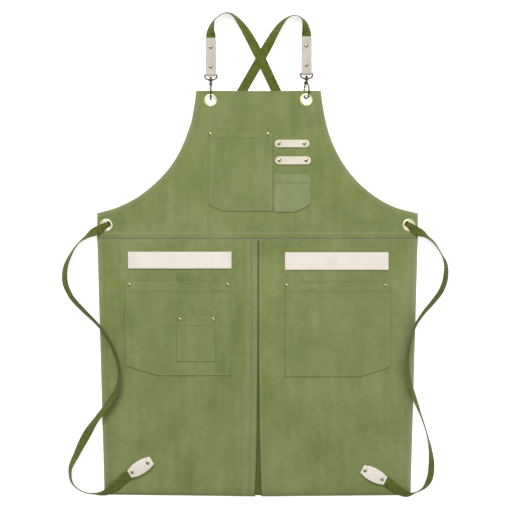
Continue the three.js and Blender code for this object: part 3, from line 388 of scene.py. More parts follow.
def clothTop(x, y):
    sunk = np.where(y > 0, settled["bib"], settled["skirt"]) * nearHoles(x, y)
    ripple = np.sin(x / 23 + np.sin(y / 41) * 1.4) * np.sin(y / 29 + np.sin(x / 37) * 1.2) + 1
    return canvasTop(x, y) - sunk + (ridges(creases, x, y) + settled["ripple"] * ripple) * nearHoles(x, y)


# distance of every point from a closed outline, and from a straight seam
def fromOutline(x, y, outline):
    nearest = np.full(np.shape(x), 1e9)
    for (ax, ay), (bx, by) in zip(outline, outline[1:] + outline[:1]):
        ex, ey = bx - ax, by - ay
        t = np.clip(((x - ax) * ex + (y - ay) * ey) / max(ex * ex + ey * ey, 1e-9), 0, 1)
        nearest = np.minimum(nearest, np.hypot(x - ax - t * ex, y - ay - t * ey))
    return nearest


# rows of points, closer together at a rolled edge and beside a hem's fold
edgeRows, hemRows = [0, 0.35, 1.0, 2.2], [5.5, 9, 11.6, 12.6]


def spread(start, end, pitch, hemmed=True):
    length = abs(end - start)
    rim = edgeRows + hemRows if hemmed else edgeRows
    count = max(2, round((length - 2 * rim[-1]) / pitch))
    inner = [mix(rim[-1], length - rim[-1], k / count) for k in range(1, count)]
    steps = rim + inner + [length - r for r in reversed(rim)]
    return [start + math.copysign(s, end - start) for s in steps]


lowest = 0.05  # the underside of what lies on the floor


# shares from 0 to 1 across a piece, spaced as spread() spaces that width
def shares(wide, pitch, hemmed=True):
    return (np.array(spread(0, wide, pitch, hemmed)) / wide)[None, :]


# a sheet over rows of points: top and underside grids closed round the border
def clothSheet(name, x, y, top, wall, material, wearAndPaintedLight=0, paintedShade=0):
    upper = np.stack([x, y, top], -1).reshape(-1, 3)
    lower = np.stack([x, y, np.maximum(top - wall, lowest)], -1).reshape(-1, 3)
    count = x.size
    index = np.arange(count).reshape(x.shape)
    a, b, c, d = index[:-1, :-1], index[:-1, 1:], index[1:, 1:], index[1:, :-1]
    faces = np.stack([a, b, c, d], -1).reshape(-1, 4).tolist()
    faces += (np.stack([d, c, b, a], -1).reshape(-1, 4) + count).tolist()
    border = list(index[0]) + list(index[1:, -1]) + list(index[-1, -2::-1]) + list(index[-2:0:-1, 0])
    border = [int(i) for i in border]
    faces += [(i + count, j + count, j, i) for i, j in zip(border, border[1:] + border[:1])]
    points = [place(*p) for p in np.concatenate([upper, lower])]
    thing = meshObject(name, points, faces, material)
    for label, values in (("wearAndPaintedLight", wearAndPaintedLight), ("paintedShade", paintedShade)):
        layer = thing.data.attributes.new(label, "FLOAT", "POINT")
        share = np.broadcast_to(values, x.shape).ravel()
        layer.data.foreach_set("value", np.concatenate([share, share]).astype(np.float32))
    return thing


def rounded(edge, by=0.45, over=1.0):
    return by * (1 - np.sqrt(1 - (1 - np.clip(edge / over, 0, 1)) ** 2))


def finish(thing, body, slotName, *nodes):
    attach(thing, body)
    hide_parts(*nodes)
    return thing


def bezier(a, b, c, d, t):
    s = 1 - t
    return tuple(s ** 3 * a[k] + 3 * s * s * t * b[k] + 3 * s * t * t * c[k] + t ** 3 * d[k] for k in (0, 1))


waistHalf, bibHalf = cloth["waistWidth"] / 2, cloth["bibTopWidth"] / 2
reach, drop, armSteps = cloth["armholeReach"], cloth["armholeDrop"], 90
armholePoints = [bezier((waistHalf, cloth["sideHeight"]),
                        (waistHalf - reach * 0.972, cloth["sideHeight"] + reach * 0.238),
                        (bibHalf + drop * 0.17, bibHeight - drop * 0.985),
                        (bibHalf, bibHeight), k / armSteps) for k in range(armSteps + 1)]
# how far in from that curve the photographed edge runs, at each height, on the left and right
armholeIn = {
    "y": [55, 66, 79, 92, 105, 117, 130, 143, 156, 181, 207, 233, 246, 258, 271, 284, 297, 310, 316],
    -1: [-1.5, 1.8, 1.3, 0.9, 0.4, 0.9, 1.7, 3.2, 4.3, 5.3, 5.8, 5.8, 6.2, 5.8, 4.9, 4.3, 3.6, 2.3, 1.6],
    1: [0, 6.5, 5.6, 3.6, 2.8, 2.7, 2.6, 2.7, 2.8, 3.2, 3.5, 2.8, 2.1, 1.5, 0.9, 0, -0.6, -1.7, -2],
}
armSide = {side: [(side * (x - float(np.interp(y, armholeIn["y"], armholeIn[side]))), y)
                  for x, y in armholePoints] for side in (-1, 1)}
armholeY = [p[1] for p in armholePoints]


def bibEdge(y, side):
    arm = np.interp(y, armholeY, [p[0] for p in armSide[side]])
    return np.where(y <= cloth["sideHeight"], side * waistHalf, arm)


# 1 on a hem, 0 past its fold
def hemShare(distance, wide):
    return 1 - ease(distance, wide - 0.6, wide + 0.8)


def thickness(folded):
    return cloth["wall"] + (cloth["hemWall"] - cloth["wall"]) * folded


# Bib, cut out for its arms; rows run straight across
bibRows = {"pitch": 4.5, "armRows": 60, "afterArm": 3.6, "upper": 4.2, "upperEnd": 15, "across": 4.6,
           "rim": (13, 11.8, 8, 4, 1.4, 0.5, 0), "seamBand": (11.5, 13),
           "sidesLow": 200, "sidesHigh": [(60, 900), (-60, 900)]}


def bibSheet():
    start, facing, armRows = cloth["gap"] / 2, bibHeight - cloth["facing"], bibRows["armRows"]
    ys = spread(start, cloth["sideHeight"], bibRows["pitch"])[:-len(edgeRows)] + armholeY[:armRows]
    ys += list(np.arange(ys[-1] + bibRows["afterArm"], bibHeight - bibRows["upperEnd"], bibRows["upper"]))
    ys += [bibHeight - r for r in bibRows["rim"]]
    unit = shares(600, bibRows["across"])
    y = np.repeat(np.array(ys)[:, None], unit.size, 1)
    x = mix(bibEdge(y, -1), bibEdge(y, 1), unit)
    rightArm, leftArm, low = armSide[1], armSide[-1][::-1], -bibRows["sidesLow"]
    outline = [(-waistHalf, 0), (waistHalf, 0), *rightArm, *leftArm]
    # the sides alone: an outline that runs on far past the waist and the bib's top
    beyond = [(waistHalf, low), *rightArm, *bibRows["sidesHigh"], *leftArm, (-waistHalf, low)]
    sides = fromOutline(x, y, beyond)
    hemmed = hemShare(sides, cloth["hem"])
    topHem = ease(y, facing - 0.8, facing + 0.6)
    relief = np.maximum(np.maximum(hemmed, topHem * 0.8), (1 - ease(y, *bibRows["seamBand"])) * 0.7)
    top = clothTop(x, y) + 0.35 * relief - rounded(fromOutline(x, y, outline)) - 0.8 * mark(y, 1.6, start)
    # paler along the worn sides and hems, and in a band 12.5 mm above the waist seam; darkened with painted
    # shade in the waist seam's groove and along the hem's fold
    wearAndPaintedLight = 0.6 * mark(sides, 2.6) + 0.16 * hemmed + 0.3 * mark(y, 1.6, 12.5)
    paintedShade = mark(y, 1.1, start) * 0.75 + 0.14 * mark(sides, 1.2, cloth["hem"])
    thick = thickness(np.maximum(hemmed, topHem))
    return clothSheet("bibCloth", x, y, top, thick, canvas, wearAndPaintedLight, paintedShade), outline


bib, bibOutline = bibSheet()

# four holes for the eyelets, cut as a maker punches them
holeSides, punchFoot, punchHead = 40, -5, 30
points, faces = [], []
for spotX, spotY in cloth["bibSpots"] + cloth["waistSpots"]:
    radius, base = cloth["punch"] / 2, len(points)
    ring = [(spotX + radius * math.cos(a), spotY + radius * math.sin(a))
            for a in np.linspace(0, 2 * math.pi, holeSides, endpoint=False)]
    points += [place(x, y, z) for z in (punchFoot, punchHead) for x, y in ring]
    faces += band(base, base + holeSides, holeSides)
    faces += [tuple(base + i for i in face) for face in ringEnds(2, holeSides)]
punch = meshObject("punch", points, faces, canvas)


def applied(thing):
    bpy.context.view_layer.update()
    ready = thing.evaluated_get(bpy.context.evaluated_depsgraph_get())
    mesh = bpy.data.meshes.new_from_object(ready)
    thing.modifiers.clear()
    thing.data = mesh
    return thing


holes = bib.modifiers.new("holes", "BOOLEAN")
holes.operation = "DIFFERENCE"
holes.object = punch
applied(bib)
bpy.data.objects.remove(punch)
finish(bib, "root", "canvas", "bib")
print("bib ready", len(bib.data.polygons))


# Skirt panels: hems at the side and foot, a wide placket on the left of the slit, a narrow one right
# the last entry: how strong a band of painted light is painted along each panel's outer side, none on the
# left
skirts = {"leftPlacket": 29, "leftFold": 13.5, "rightPlacket": 7, "down": 4.8, "across": 4.6,
          "cornerRise": {-1: 3.6, 1: 2.4}, "paintedLightBand": {-1: 0, 1: 0.3}}


def skirtSheet(name, side, plackets):
    y = np.array([-v for v in spread(cloth["gap"] / 2, cloth["skirtLength"], skirts["down"])])[:, None]
    outer = side * skirtHalf(y)
    inner = cloth["slitX"] + side * slitHalf(y)
    unit = shares(330, skirts["across"])
    low, high = (outer, inner) if side < 0 else (inner, outer)
    x = mix(low, high, unit)
    y = np.repeat(y, x.shape[1], 1)
    foot = -cloth["skirtLength"] + skirts["cornerRise"][side] * np.abs(x) / skirtHalf(y)
    y = y * foot / -cloth["skirtLength"]
    toSide, toFoot, toSlit = side * (outer - x), y - foot, side * (x - inner)
    toHem = np.minimum(toSide, toFoot)
    hemmed = hemShare(toHem, cloth["hem"])
    placket = 1 - ease(toSlit, plackets[0] - 0.6, plackets[0] + 0.6)
    fold = sum(mark(toSlit, 1.3, d) for d in plackets)
    edges = rounded(np.minimum(toHem, np.minimum(toSlit, -y))) + 0.8 * mark(y, 1.6) + 0.35 * fold
    top = clothTop(x, y) + 0.4 * np.maximum(hemmed, placket * 0.9) - edges
    # paler along worn sides and hems; the right panel also gets a wide band of painted light along its side,
    # and the placket a streaky painted highlight
    wearAndPaintedLight = 0.7 * mark(toSide, 3.4) + 0.1 * hemmed + skirts["paintedLightBand"][side] * mark(toSide, 22)
    wearAndPaintedLight = wearAndPaintedLight + 0.36 * placket * (0.6 + 0.4 * np.sin(x * 0.9) * np.sin(y / 31))
    # painted shade: in the waist seam's groove, the placket folds, the hem's fold and the slit's edges, and
    # darker towards the foot where the light falls off
    paintedShade = mark(y, 1.0) * 0.6 + 0.3 * fold + 0.14 * mark(toHem, 1.2, cloth["hem"])
    paintedShade = np.minimum(paintedShade + 0.85 * mark(toSlit, 1.4) + 0.44 * mark(toFoot, 9), 1)
    return clothSheet(name, x, y, top, thickness(np.maximum(hemmed, placket)), canvas, wearAndPaintedLight, paintedShade)


leftSkirt = skirtSheet("skirtLeftCloth", -1, (skirts["leftPlacket"], skirts["leftFold"]))
rightSkirt = skirtSheet("skirtRightCloth", 1, (skirts["rightPlacket"],))
finish(leftSkirt, "root", "canvas", "skirt_left")
finish(rightSkirt, "root", "canvas", "skirt_right")

# The panel behind the slit, its colours darkened with painted shade: a little shorter than the skirt, flat on
# the floor
underHalf = cloth["underlayWidth"] / 2
underY = np.array([-v for v in spread(3, cloth["skirtLength"] - 2, 12, False)])[:, None]
underX = cloth["slitX"] + np.array(spread(-underHalf, underHalf, 8, False))[None, :]
underX, underY = np.broadcast_arrays(underX, underY)
underTop = np.full(underX.shape, cloth["wall"] - lowest)
underSheet = clothSheet("underlayCloth", underX, underY, underTop, cloth["wall"] - 2 * lowest, shadeCanvas)
finish(underSheet, "root", "canvas", "skirt_underlay")
print("skirts ready")

# Patch pockets, in millimetres: centre x, top y, size, cut corner, hem below the mouth
pockets = [
    {"name": "chest_pocket", "x": -36.3, "top": 230, "wide": 138.5, "high": 171,
     "cut": -1, "cutWide": 31, "cutHigh": 13, "hemDown": 14.4},
    {"name": "pen_pocket", "x": 73.9, "top": 139, "wide": 80.2, "high": 82,
     "cut": 1, "cutWide": 32, "cutHigh": 16, "hemDown": 20},
    {"name": "left_pocket", "x": -171.3, "top": -89, "wide": 225, "high": 203,
     "cut": -1, "cutWide": 72, "cutHigh": 22, "hemDown": 23},
    {"name": "right_pocket", "x": 171.5, "top": -93, "wide": 225, "high": 201,
     "cut": 1, "cutWide": 64, "cutHigh": 20, "hemDown": 19},
    {"name": "tool_pocket", "x": -131.5, "top": -163, "wide": 83, "high": 99,
     "cut": 0, "cutWide": 1, "cutHigh": 1, "hemDown": 22},
]
pocketWall, pocketPitch, patchRise = 0.8, 4.2, laid * 0.6


def pocketEdges(pocket, y):
    left = pocket["x"] - pocket["wide"] / 2 + 0 * y
    right = pocket["x"] + pocket["wide"] / 2 + 0 * y
    above = y - (pocket["top"] - pocket["high"])
    inset = pocket["cutWide"] * np.clip(1 - above / pocket["cutHigh"], 0, 1)
    return left + inset * (pocket["cut"] < 0), right - inset * (pocket["cut"] > 0)


def pocketOutline(pocket):
    left, right = pocket["x"] - pocket["wide"] / 2, pocket["x"] + pocket["wide"] / 2
    top, foot = pocket["top"], pocket["top"] - pocket["high"]
    wide, high = pocket["cutWide"], pocket["cutHigh"]
    lower = [(left, foot)] if pocket["cut"] >= 0 else [(left, foot + high), (left + wide, foot)]
    lower += [(right, foot)] if pocket["cut"] <= 0 else [(right - wide, foot), (right, foot + high)]
    return lower + [(right, top), (left, top)]


def pocketTop(pocket, x, y):
    u = np.clip((x - pocket["x"]) * 2 / pocket["wide"], -1, 1)
    v = np.clip(1 - (pocket["top"] - y) / pocket["high"], 0, 1)
    under = pocketTop(pockets[2], x, y) if pocket["name"] == "tool_pocket" else clothTop(x, y)
    sag = 0.35 * np.sin(x / 17 + pocket["x"]) * np.sin(y / 26) * (1 - u * u)
    stand = (1 - u * u) * (1.2 * v + 0.5 * ease(v, 0, 0.08)) + np.maximum(sag, -0.2)
    hem = 0.45 * ease(y, pocket["top"] - pocket["hemDown"] - 0.7, pocket["top"] - pocket["hemDown"] + 0.7)
    return under + patchRise + pocketWall + stand + hem


def pocketSheet(pocket, material):
    foot, hemY = pocket["top"] - pocket["high"], pocket["top"] - pocket["hemDown"]
    ys = sorted(spread(foot, pocket["top"], pocketPitch, False) + [hemY + d for d in (-0.8, 0, 0.8)])
    y = np.array(ys)[:, None]
    left, right = pocketEdges(pocket, y)
    unit = shares(120, 120 * pocketPitch / pocket["wide"], False)
    x = mix(left, right, unit)
    y = np.repeat(y, x.shape[1], 1)
    rim = fromOutline(x, y, pocketOutline(pocket))
    mouth = pocket["top"] - y
    line = mark(mouth, 1.0, pocket["hemDown"])
    ridge = mark(mouth, 1.5, pocket["hemDown"] - 2.4)
    sewnDown = mark(rim, 1.1, 2.6) * (mouth > 4)
    top = pocketTop(pocket, x, y) - rounded(rim, 0.5, 1.3) - 0.06 * line - 0.1 * sewnDown
    thick = pocketWall + 0.35 * (mouth < pocket["hemDown"])
    # painted shadow along the pocket's bottom, cut corner and left side, fainter on its right, and painted
    # shade along the hem line; paler just inside the rim and above the hem line
    low = 1 - ease(y, foot + pocket["cutHigh"], foot + pocket["cutHigh"] + 3)
    edge = mark(rim, 0.9) * np.maximum(low * 0.85, np.where(x < pocket["x"], 0.55, 0.25) * (mouth > 3))
    patchy = 0.6 + 0.4 * np.sin(x / 9 + pocket["x"]) * np.sin(y / 13)
    wearAndPaintedLight = (0.42 * mark(rim, 1.4, 2.4) * (mouth > 4) + 0.5 * ridge) * patchy
    return clothSheet(pocket["name"] + "Cloth", x, y, top, thick, material, wearAndPaintedLight,
                      np.minimum(0.08 * line + edge, 1))


pocketSheets = []
for pocket in pockets:
    look = penCanvas if pocket["name"] == "pen_pocket" else pocketCanvas
    pocketSheets.append(finish(pocketSheet(pocket, look), "root", "pocket_canvas", pocket["name"]))
print("pockets ready")

# Leather trim: towel bands with square ends, pen loops with round ones
trims = [
    {"name": "towel_band_left", "x": -166, "y": -45, "wide": 221, "high": 36, "round": 0},
    {"name": "towel_band_right", "x": 169, "y": -47, "wide": 221, "high": 37.5, "round": 0},
    {"name": "pen_loop_upper", "x": 74, "y": 203.6, "wide": 74, "high": 16.4, "round": 1},
    {"name": "pen_loop_lower", "x": 75.8, "y": 167.6, "wide": 76, "high": 17.2, "round": 1},
]
trimWall = 1.7


def trimTop(trim, x, y):
    u = np.clip((x - trim["x"]) * 2 / trim["wide"], -1, 1)
    return clothTop(x, y) + patchRise + trimWall + 0.5 * (1 - u ** 8)


def trimSheet(trim):
    foot = trim["y"] - trim["high"] / 2
    y = np.array(spread(foot, foot + trim["high"], 1.6 if trim["round"] else 3.4, False))[:, None]
    v = (y - trim["y"]) * 2 / trim["high"]
    endRadius = trim["high"] / 2 * trim["round"]
    pull = endRadius * (1 - np.sqrt(np.clip(1 - np.abs(v) ** 2.3, 0, 1)))
    unit = (np.array(spread(-100, 100, 200 * 3 / trim["wide"], False)) / 100)[None, :]
    x = trim["x"] + unit * (trim["wide"] / 2 - pull)
    y = np.repeat(y, x.shape[1], 1)
    rim = np.minimum((1 - np.abs(unit)) * trim["wide"] / 2, (1 - np.abs(v)) * trim["high"] / 2)
    top = trimTop(trim, x, y) - rounded(rim, 0.5, 1.0)
    hide = loopLeather if trim["round"] else leather
    return clothSheet(trim["name"] + "Leather", x, y, top, trimWall, hide)


for trim in trims:
    finish(trimSheet(trim), "root", "leather", trim["name"])
print("leather trim ready")

# Webbing straps. Stations of the arches: across and up as shares of the arch; lean in degrees
# from lying flat. Waist ties: out past the skirt's side, down as a share of eyelet to hem
leftArch = [(0.004, 0.63, 44), (0.028, 0.741, 62), (0.07, 0.845, 79), (0.149, 0.922, 78), (0.296, 1, 76),
            (0.39, 0.987, 73), (0.481, 0.918, 66), (0.581, 0.789, 50), (0.688, 0.623, 34), (0.803, 0.408, 18)]
rightArch = [(0.011, 0.668, 31), (0.033, 0.786, 50), (0.071, 0.892, 70), (0.133, 0.955, 77),
             (0.226, 0.998, 79), (0.332, 0.984, 77), (0.442, 0.922, 71), (0.553, 0.802, 56),
             (0.686, 0.598, 38), (0.82, 0.35, 18)]
leftTie = [(0.25, 0.038, 58), (0.53, 0.066, 78), (0.75, 0.108, 68), (0.91, 0.16, 54), (0.91, 0.212, 49),
           (0.75, 0.26, 54), (0.41, 0.31, 59), (0.07, 0.352, 65), (-0.25, 0.4, 68), (-0.52, 0.47, 67),
           (-0.65, 0.542, 67), (-0.6, 0.599, 58), (-0.35, 0.655, 52), (-0.01, 0.711, 54), (0.31, 0.774, 27),
           (0.57, 0.84, 46), (0.77, 0.904, 64), (0.71, 0.948, 70), (0.42, 0.979, 76), (0.08, 0.988, 72),
           (-0.18, 0.986, 52), (-0.48, 0.966, 15)]
rightTie = [(0.22, 0.039, 62), (0.47, 0.066, 74), (0.66, 0.104, 78), (0.79, 0.143, 62), (0.8, 0.18, 53),
            (0.69, 0.234, 51), (0.44, 0.28, 56), (0.15, 0.323, 63), (-0.09, 0.371, 67), (-0.25, 0.432, 68),
            (-0.33, 0.499, 62), (-0.27, 0.573, 56), (-0.13, 0.629, 58), (0.04, 0.686, 75), (0.24, 0.763, 80),
            (0.35, 0.829, 64), (0.38, 0.892, 44), (0.32, 0.937, 43), (0.16, 0.966, 62), (-0.06, 0.982, 74),
            (-0.3, 0.99, 50), (-0.56, 0.976, 16)]
straps = [
    {"word": "left", "start": -99.5, "tabTop": 429, "rise": 96, "slope": 0.472, "arch": leftArch,
     "overCross": overWeb, "exit": (0.79, -0.61), "tie": rightTie, "mouth": (272.6, -515.4),
     "along": (-0.888, 0.46)},
    {"word": "right", "start": 104.5, "tabTop": 432, "rise": 91, "slope": 0.576, "arch": rightArch,
     "overCross": 0, "exit": (-0.86, -0.51), "tie": leftTie, "mouth": (-273, -500.7),
     "along": (0.853, 0.523)},
]
web = {"tabLength": 82, "tabLeather": 1.7, "tipLeather": 1.5, "tipLength": 56, "tieSpread": 74.3,
       "crossing": (7, 385.6), "across": 8, "pitch": 3.2, "firmEdge": 0.62}
station = {"x": 0, "y": 0, "level": 0, "lean": 0, "wide": cloth["webWidth"], "crease": 0,
           "thick": cloth["webThick"]}


def tieLevel(x, y):
    out = np.hypot(max(0, abs(x) - skirtHalf(y)), max(0, -cloth["skirtLength"] - y))
    inside = 1 - ease(out, cloth["webWidth"] * 0.55, cloth["webWidth"] * 1.7)
    nearest = float(np.clip(x, -skirtHalf(y), skirtHalf(y)))
    return float((canvasTop(nearest, max(y, -cloth["skirtLength"])) + laid) * inside)


def stations(strap):
    rows = []

    def add(x, y, level, lean=0, **more):
        rows.append({**station, "x": float(x), "y": float(y), "level": float(level), "lean": lean, **more})

    start, top, (crossX, crossY) = strap["start"], strap["tabTop"], web["crossing"]
    inTab = web["tabLeather"] + cloth["gap"]
    for y in (top - web["tabLength"] + 18, top - 12, top + 1):
        add(start, y, inTab)
    for over, up, lean in strap["arch"]:
        add(mix(start, crossX, over), crossY + up * strap["rise"], 0, lean)
    side = -math.copysign(1, start)
    bibX = crossX + side * (crossY - bibHeight) * strap["slope"]
    add(mix(start, crossX, 0.93), crossY + strap["rise"] * 0.14, strap["overCross"])
    add(crossX, crossY, strap["overCross"])
    add(mix(crossX, bibX, 0.4), mix(crossY, bibHeight, 0.4), strap["overCross"])
    add(mix(crossX, bibX, 0.86), mix(crossY, bibHeight, 0.86), 0)
    eyeX, eyeY = side * cloth["waistEyelet"][0], cloth["waistEyelet"][1]
    ex, ey = strap["exit"]
    behind = (bibX, bibHeight), (bibX + side * 88.2, bibHeight * 0.418), (eyeX - side * 92, eyeY + 18)
    for k in range(8):
        add(*bezier(*behind, (eyeX - ex * 20, eyeY - ey * 20), k / 8), 0)
    rim = waistEyeletTop + cloth["gap"] + cloth["eyeletPlate"] * 1.5
    hole = cloth["eyeletHole"] / 2
    # up through the eyelet, gathered to fit its hole: along, height, width, crease, thickness
    rising = [(-18, 0.75, 0.84, 0, 1.05), (-hole - 4, 0.72, 0.7, 0, 1.05), (-hole, 0.75, 0.6, 0, 1.08),
              (-hole + 2.1, 1.0, 0.58, 0.3, 1.1), (-hole + 2.9, 2.6, 0.58, 1.2, 1.15),
              (-hole + 3.3, 4.6, 0.58, 1.6, 1.2), (-hole + 4.2, rim + 0.9, 0.62, 1.4, 1.2),
              (0, rim + 2.6, 0.68, 1.1, 1.2), (hole, rim + 2.2, 0.76, 0.7, 1.1),
              (hole + 8, rim + 1.7, 0.86, 0.3, 1)]
    for along, z, wide, crease, thick in rising:
        thick *= cloth["webThick"]
        add(eyeX + ex * along, eyeY + ey * along, z - crease - thick / 2,
            wide=cloth["webWidth"] * wide, crease=crease, thick=thick)
    for out, down, lean in strap["tie"]:
        x, y = side * (waistHalf + out * web["tieSpread"]), eyeY - down * (cloth["skirtLength"] + eyeY)
        add(x, y, tieLevel(x, y), lean)
    for share in (0.04, 0.35, 0.78):
        add(strap["mouth"][0] + strap["along"][0] * web["tipLength"] * share,
            strap["mouth"][1] + strap["along"][1] * web["tipLength"] * share,
            strap["tipLevel"] + web["tipLeather"] + cloth["gap"])
    return rows


# a smooth run through the stations that doesn't swing past them in height, lean or width
def smoothed(rows):
    spans = [math.dist((a["x"], a["y"], a["level"]), (b["x"], b["y"], b["level"]))
             for a, b in zip(rows, rows[1:])]

    def slope(key, i):
        if i in (0, len(rows) - 1):
            a = max(i - 1, 0)
            return (rows[a + 1][key] - rows[a][key]) / spans[a]
        before = (rows[i][key] - rows[i - 1][key]) / spans[i - 1]
        after = (rows[i + 1][key] - rows[i][key]) / spans[i]
        if key not in "xy" and before * after <= 0:
            return 0
        return (before * spans[i] + after * spans[i - 1]) / (spans[i] + spans[i - 1])

    path = []
    for i, span in enumerate(spans):
        count = max(2, round(span / web["pitch"]))
        for k in range(count):
            t, point = k / count, {}
            for key in station:
                m0, m1, a, b = slope(key, i) * span, slope(key, i + 1) * span, rows[i][key], rows[i + 1][key]
                point[key] = (a + m0 * t + (3 * (b - a) - 2 * m0 - m1) * t * t
                              + (2 * (a - b) + m0 + m1) * t ** 3)
            path.append(point)
    return path + [rows[-1]]


def strapMesh(strap):
    path = smoothed(stations(strap))
    turnSide = math.copysign(1, strap["start"])
    points, uvs, run = [], [], 0
    columns = [1 - 2 * k / web["across"] for k in range(web["across"] + 1)]
    for p in path:
        p["z"] = p["level"] + p["crease"] + 0.5 * (p["wide"] * math.sin(math.radians(p["lean"]))
                                                  + p["thick"] * math.cos(math.radians(p["lean"])))
    for i, p in enumerate(path):
        a, b = path[max(i - 1, 0)], path[min(i + 1, len(path) - 1)]
        tangent = Vector((b["x"] - a["x"], b["y"] - a["y"], b["z"] - a["z"])).normalized()
        left = Vector((-(b["y"] - a["y"]), b["x"] - a["x"], 0)).normalized()
        face = tangent.cross(left).normalized()
        turn = math.radians(p["lean"]) * turnSide
        across = left * math.cos(turn) + face * math.sin(turn)
        up = face * math.cos(turn) - left * math.sin(turn)
        centre = Vector((p["x"], p["y"], p["z"]))
        run += math.dist((p["x"], p["y"], p["z"]), (a["x"], a["y"], a["z"]))
        for layer in (1, -1):
            for s in columns if layer > 0 else reversed(columns):
                half = p["thick"] / 2 * (web["firmEdge"] if abs(s) == 1 else 1)
                spot = centre + across * (s * p["wide"] / 2) + up * (layer * half - p["crease"] * s * s)
                points.append(place(*spot))
                uvs.append((s * p["wide"] / 2000, run / 1000))
    ring = 2 * len(columns)
    faces = ringEnds(len(path), ring)
    for i in range(len(path) - 1):
        faces += band(i * ring, (i + 1) * ring, ring)
    thing = meshObject(f"strap{strap['word'].title()}Webbing", points, faces, webbing, uvs)
    outwards(thing)
    return thing


def outwards(thing):
    bpy.ops.object.select_all(action="DESELECT")
    bpy.context.view_layer.objects.active = thing
    thing.select_set(True)
    bpy.ops.object.mode_set(mode="EDIT")
    bpy.ops.mesh.select_all(action="SELECT")
    bpy.ops.mesh.normals_make_consistent(inside=False)
    bpy.ops.object.mode_set(mode="OBJECT")
    thing.select_set(False)


for strap in straps:
    other = "right" if strap["word"] == "left" else "left"
    strap["tipLevel"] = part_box(f"tip_{other}")[0].z * 1000
    finish(strapMesh(strap), "root", "webbing", f"strap_{strap['word']}_shoulder")
print("straps ready")


# Leather tabs and tips: the frame's folded pieces with their cut edges softened
def softened(node, name, material, width, segments=2):
    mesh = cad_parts[node].data.copy()
    mesh.name = name
    mesh.materials.clear()
    mesh.materials.append(material)
    thing = bpy.data.objects.new(name, mesh)
    bpy.context.collection.objects.link(thing)
    weld = thing.modifiers.new("weld", "WELD")
    weld.merge_threshold = 0.00001
    bevel = thing.modifiers.new("bevel", "BEVEL")
    bevel.width = width / 1000
    bevel.segments = segments
    bevel.limit_method = "ANGLE"
    bevel.angle_limit = math.radians(40)
    applied(thing)
    thing.data.shade_smooth()
    return thing


cutEdge, leverEdge = 0.35, 0.3
for word in ("left", "right"):
    for kind, hide in (("tab", tabLeather), ("tip", leather)):
        folded = softened(f"{kind}_{word}", f"{kind}{word.title()}Leather", hide, cutEdge)
        finish(folded, "root", "leather", f"{kind}_{word}")
print("tabs and tips ready")


# Turned and bent hardware, in its own frame: profile as (radius, height)
def lathed(name, profile, material, sides=40):
    points, faces = [], []
    for r, z in profile:
        for k in range(sides):
            a = 2 * math.pi * k / sides
            points.append((r * math.cos(a) / 1000, r * math.sin(a) / 1000, z / 1000))
    for i in range(len(profile) - 1):
        faces += band(i * sides, (i + 1) * sides, sides)
    return meshObject(name, points, faces, material)


def nodeTree(name, sockets):
    tree = bpy.data.node_groups.new(name, "GeometryNodeTree")
    for label, kind in sockets:
        tree.interface.new_socket(label, in_out="INPUT", socket_type="NodeSocket" + kind)
    tree.interface.new_socket("Geometry", in_out="OUTPUT", socket_type="NodeSocketGeometry")
    return tree, tree.nodes.new("NodeGroupInput").outputs


# instances made real and given their material, as the tree's result
def madeReal(tree, given, links):
    placed = addNode(tree, "GeometryNodeInstanceOnPoints", None, links)
    real = addNode(tree, "GeometryNodeRealizeInstances", None, {"Geometry": placed.outputs[0]})
    surfaced = addNode(tree, "GeometryNodeSetMaterial", None,
                       {"Geometry": real.outputs[0], "Material": given["Material"]})
    tree.links.new(surfaced.outputs[0], tree.nodes.new("NodeGroupOutput").inputs[0])
    return tree


def copiesTree():
    sockets = (("Geometry", "Geometry"), ("Copy", "Object"), ("Material", "Material"))
    tree, given = nodeTree("copiesOnPoints", sockets)
    copied = addNode(tree, "GeometryNodeObjectInfo", None, {"Object": given["Copy"]})
    points = addNode(tree, "GeometryNodeMeshToPoints", None, {"Mesh": given["Geometry"]})
    return madeReal(tree, given, {"Points": points.outputs[0], "Instance": copied.outputs["Geometry"]})


def nodesApplied(thing, tree, values):
    modifier = thing.modifiers.new(tree.name, "NODES")
    modifier.node_group = tree
    for item in tree.interface.items_tree:
        if item.item_type == "SOCKET" and item.in_out == "INPUT" and item.name in values:
            modifier[item.identifier] = values[item.name]
    applied(thing)
    thing.data.shade_smooth()
    return thing


copies = copiesTree()


def repeated(name, copy, spots, material):
    thing = meshObject(name, spots, [], material)
    nodesApplied(thing, copies, {"Copy": copy, "Material": material})
    bpy.data.objects.remove(copy)
    return thing


# what lies uppermost in the cloth and leather at a place, in millimetres
layers = [o for o in bpy.context.scene.objects if o.type == "MESH" and o.name.endswith(("Cloth", "Leather"))]
trees = {o.name: BVHTree.FromObject(o, bpy.context.evaluated_depsgraph_get()) for o in layers}


def surface(x, y, names=None):
    spot = Vector(place(x, y, 60))
    hits = [trees[n].ray_cast(spot, Vector((0, 0, -1)))[0] for n in names or trees]
    return max([h.z * 1000 for h in hits if h is not None], default=0)


# Eyelets: rolled plated rings, a flange above the canvas and a washer under it
def eyeletCopy(name, z):
    r, plate, outer = cloth["ringHole"] / 2, cloth["eyeletPlate"], cloth["ringOuter"] / 2
    high, low = z + cloth["gap"], z - cloth["hemWall"] - cloth["gap"]
    washer = [(r + plate, low), (outer - 1, low), (outer - 1, low - plate), (r + 0.3, low - plate)]
    barrel = [(r, low - plate + 0.3), (r, high + 0.2), (r + 0.2, high + 0.7), (r + 0.7, high + 1.0)]
    flange = [(r + 1.6, high + 1.1), (r + 2.7, high + 1.0), (outer - 0.8, high + 0.75),
              (outer - 0.2, high + 0.4), (outer, high + 0.1), (outer - 0.1, high - 0.1)]
    profile = washer + barrel + flange + [(r + plate, high - 0.1), (r + plate, low)]
    return lathed(name, profile, paleBrass, 48)


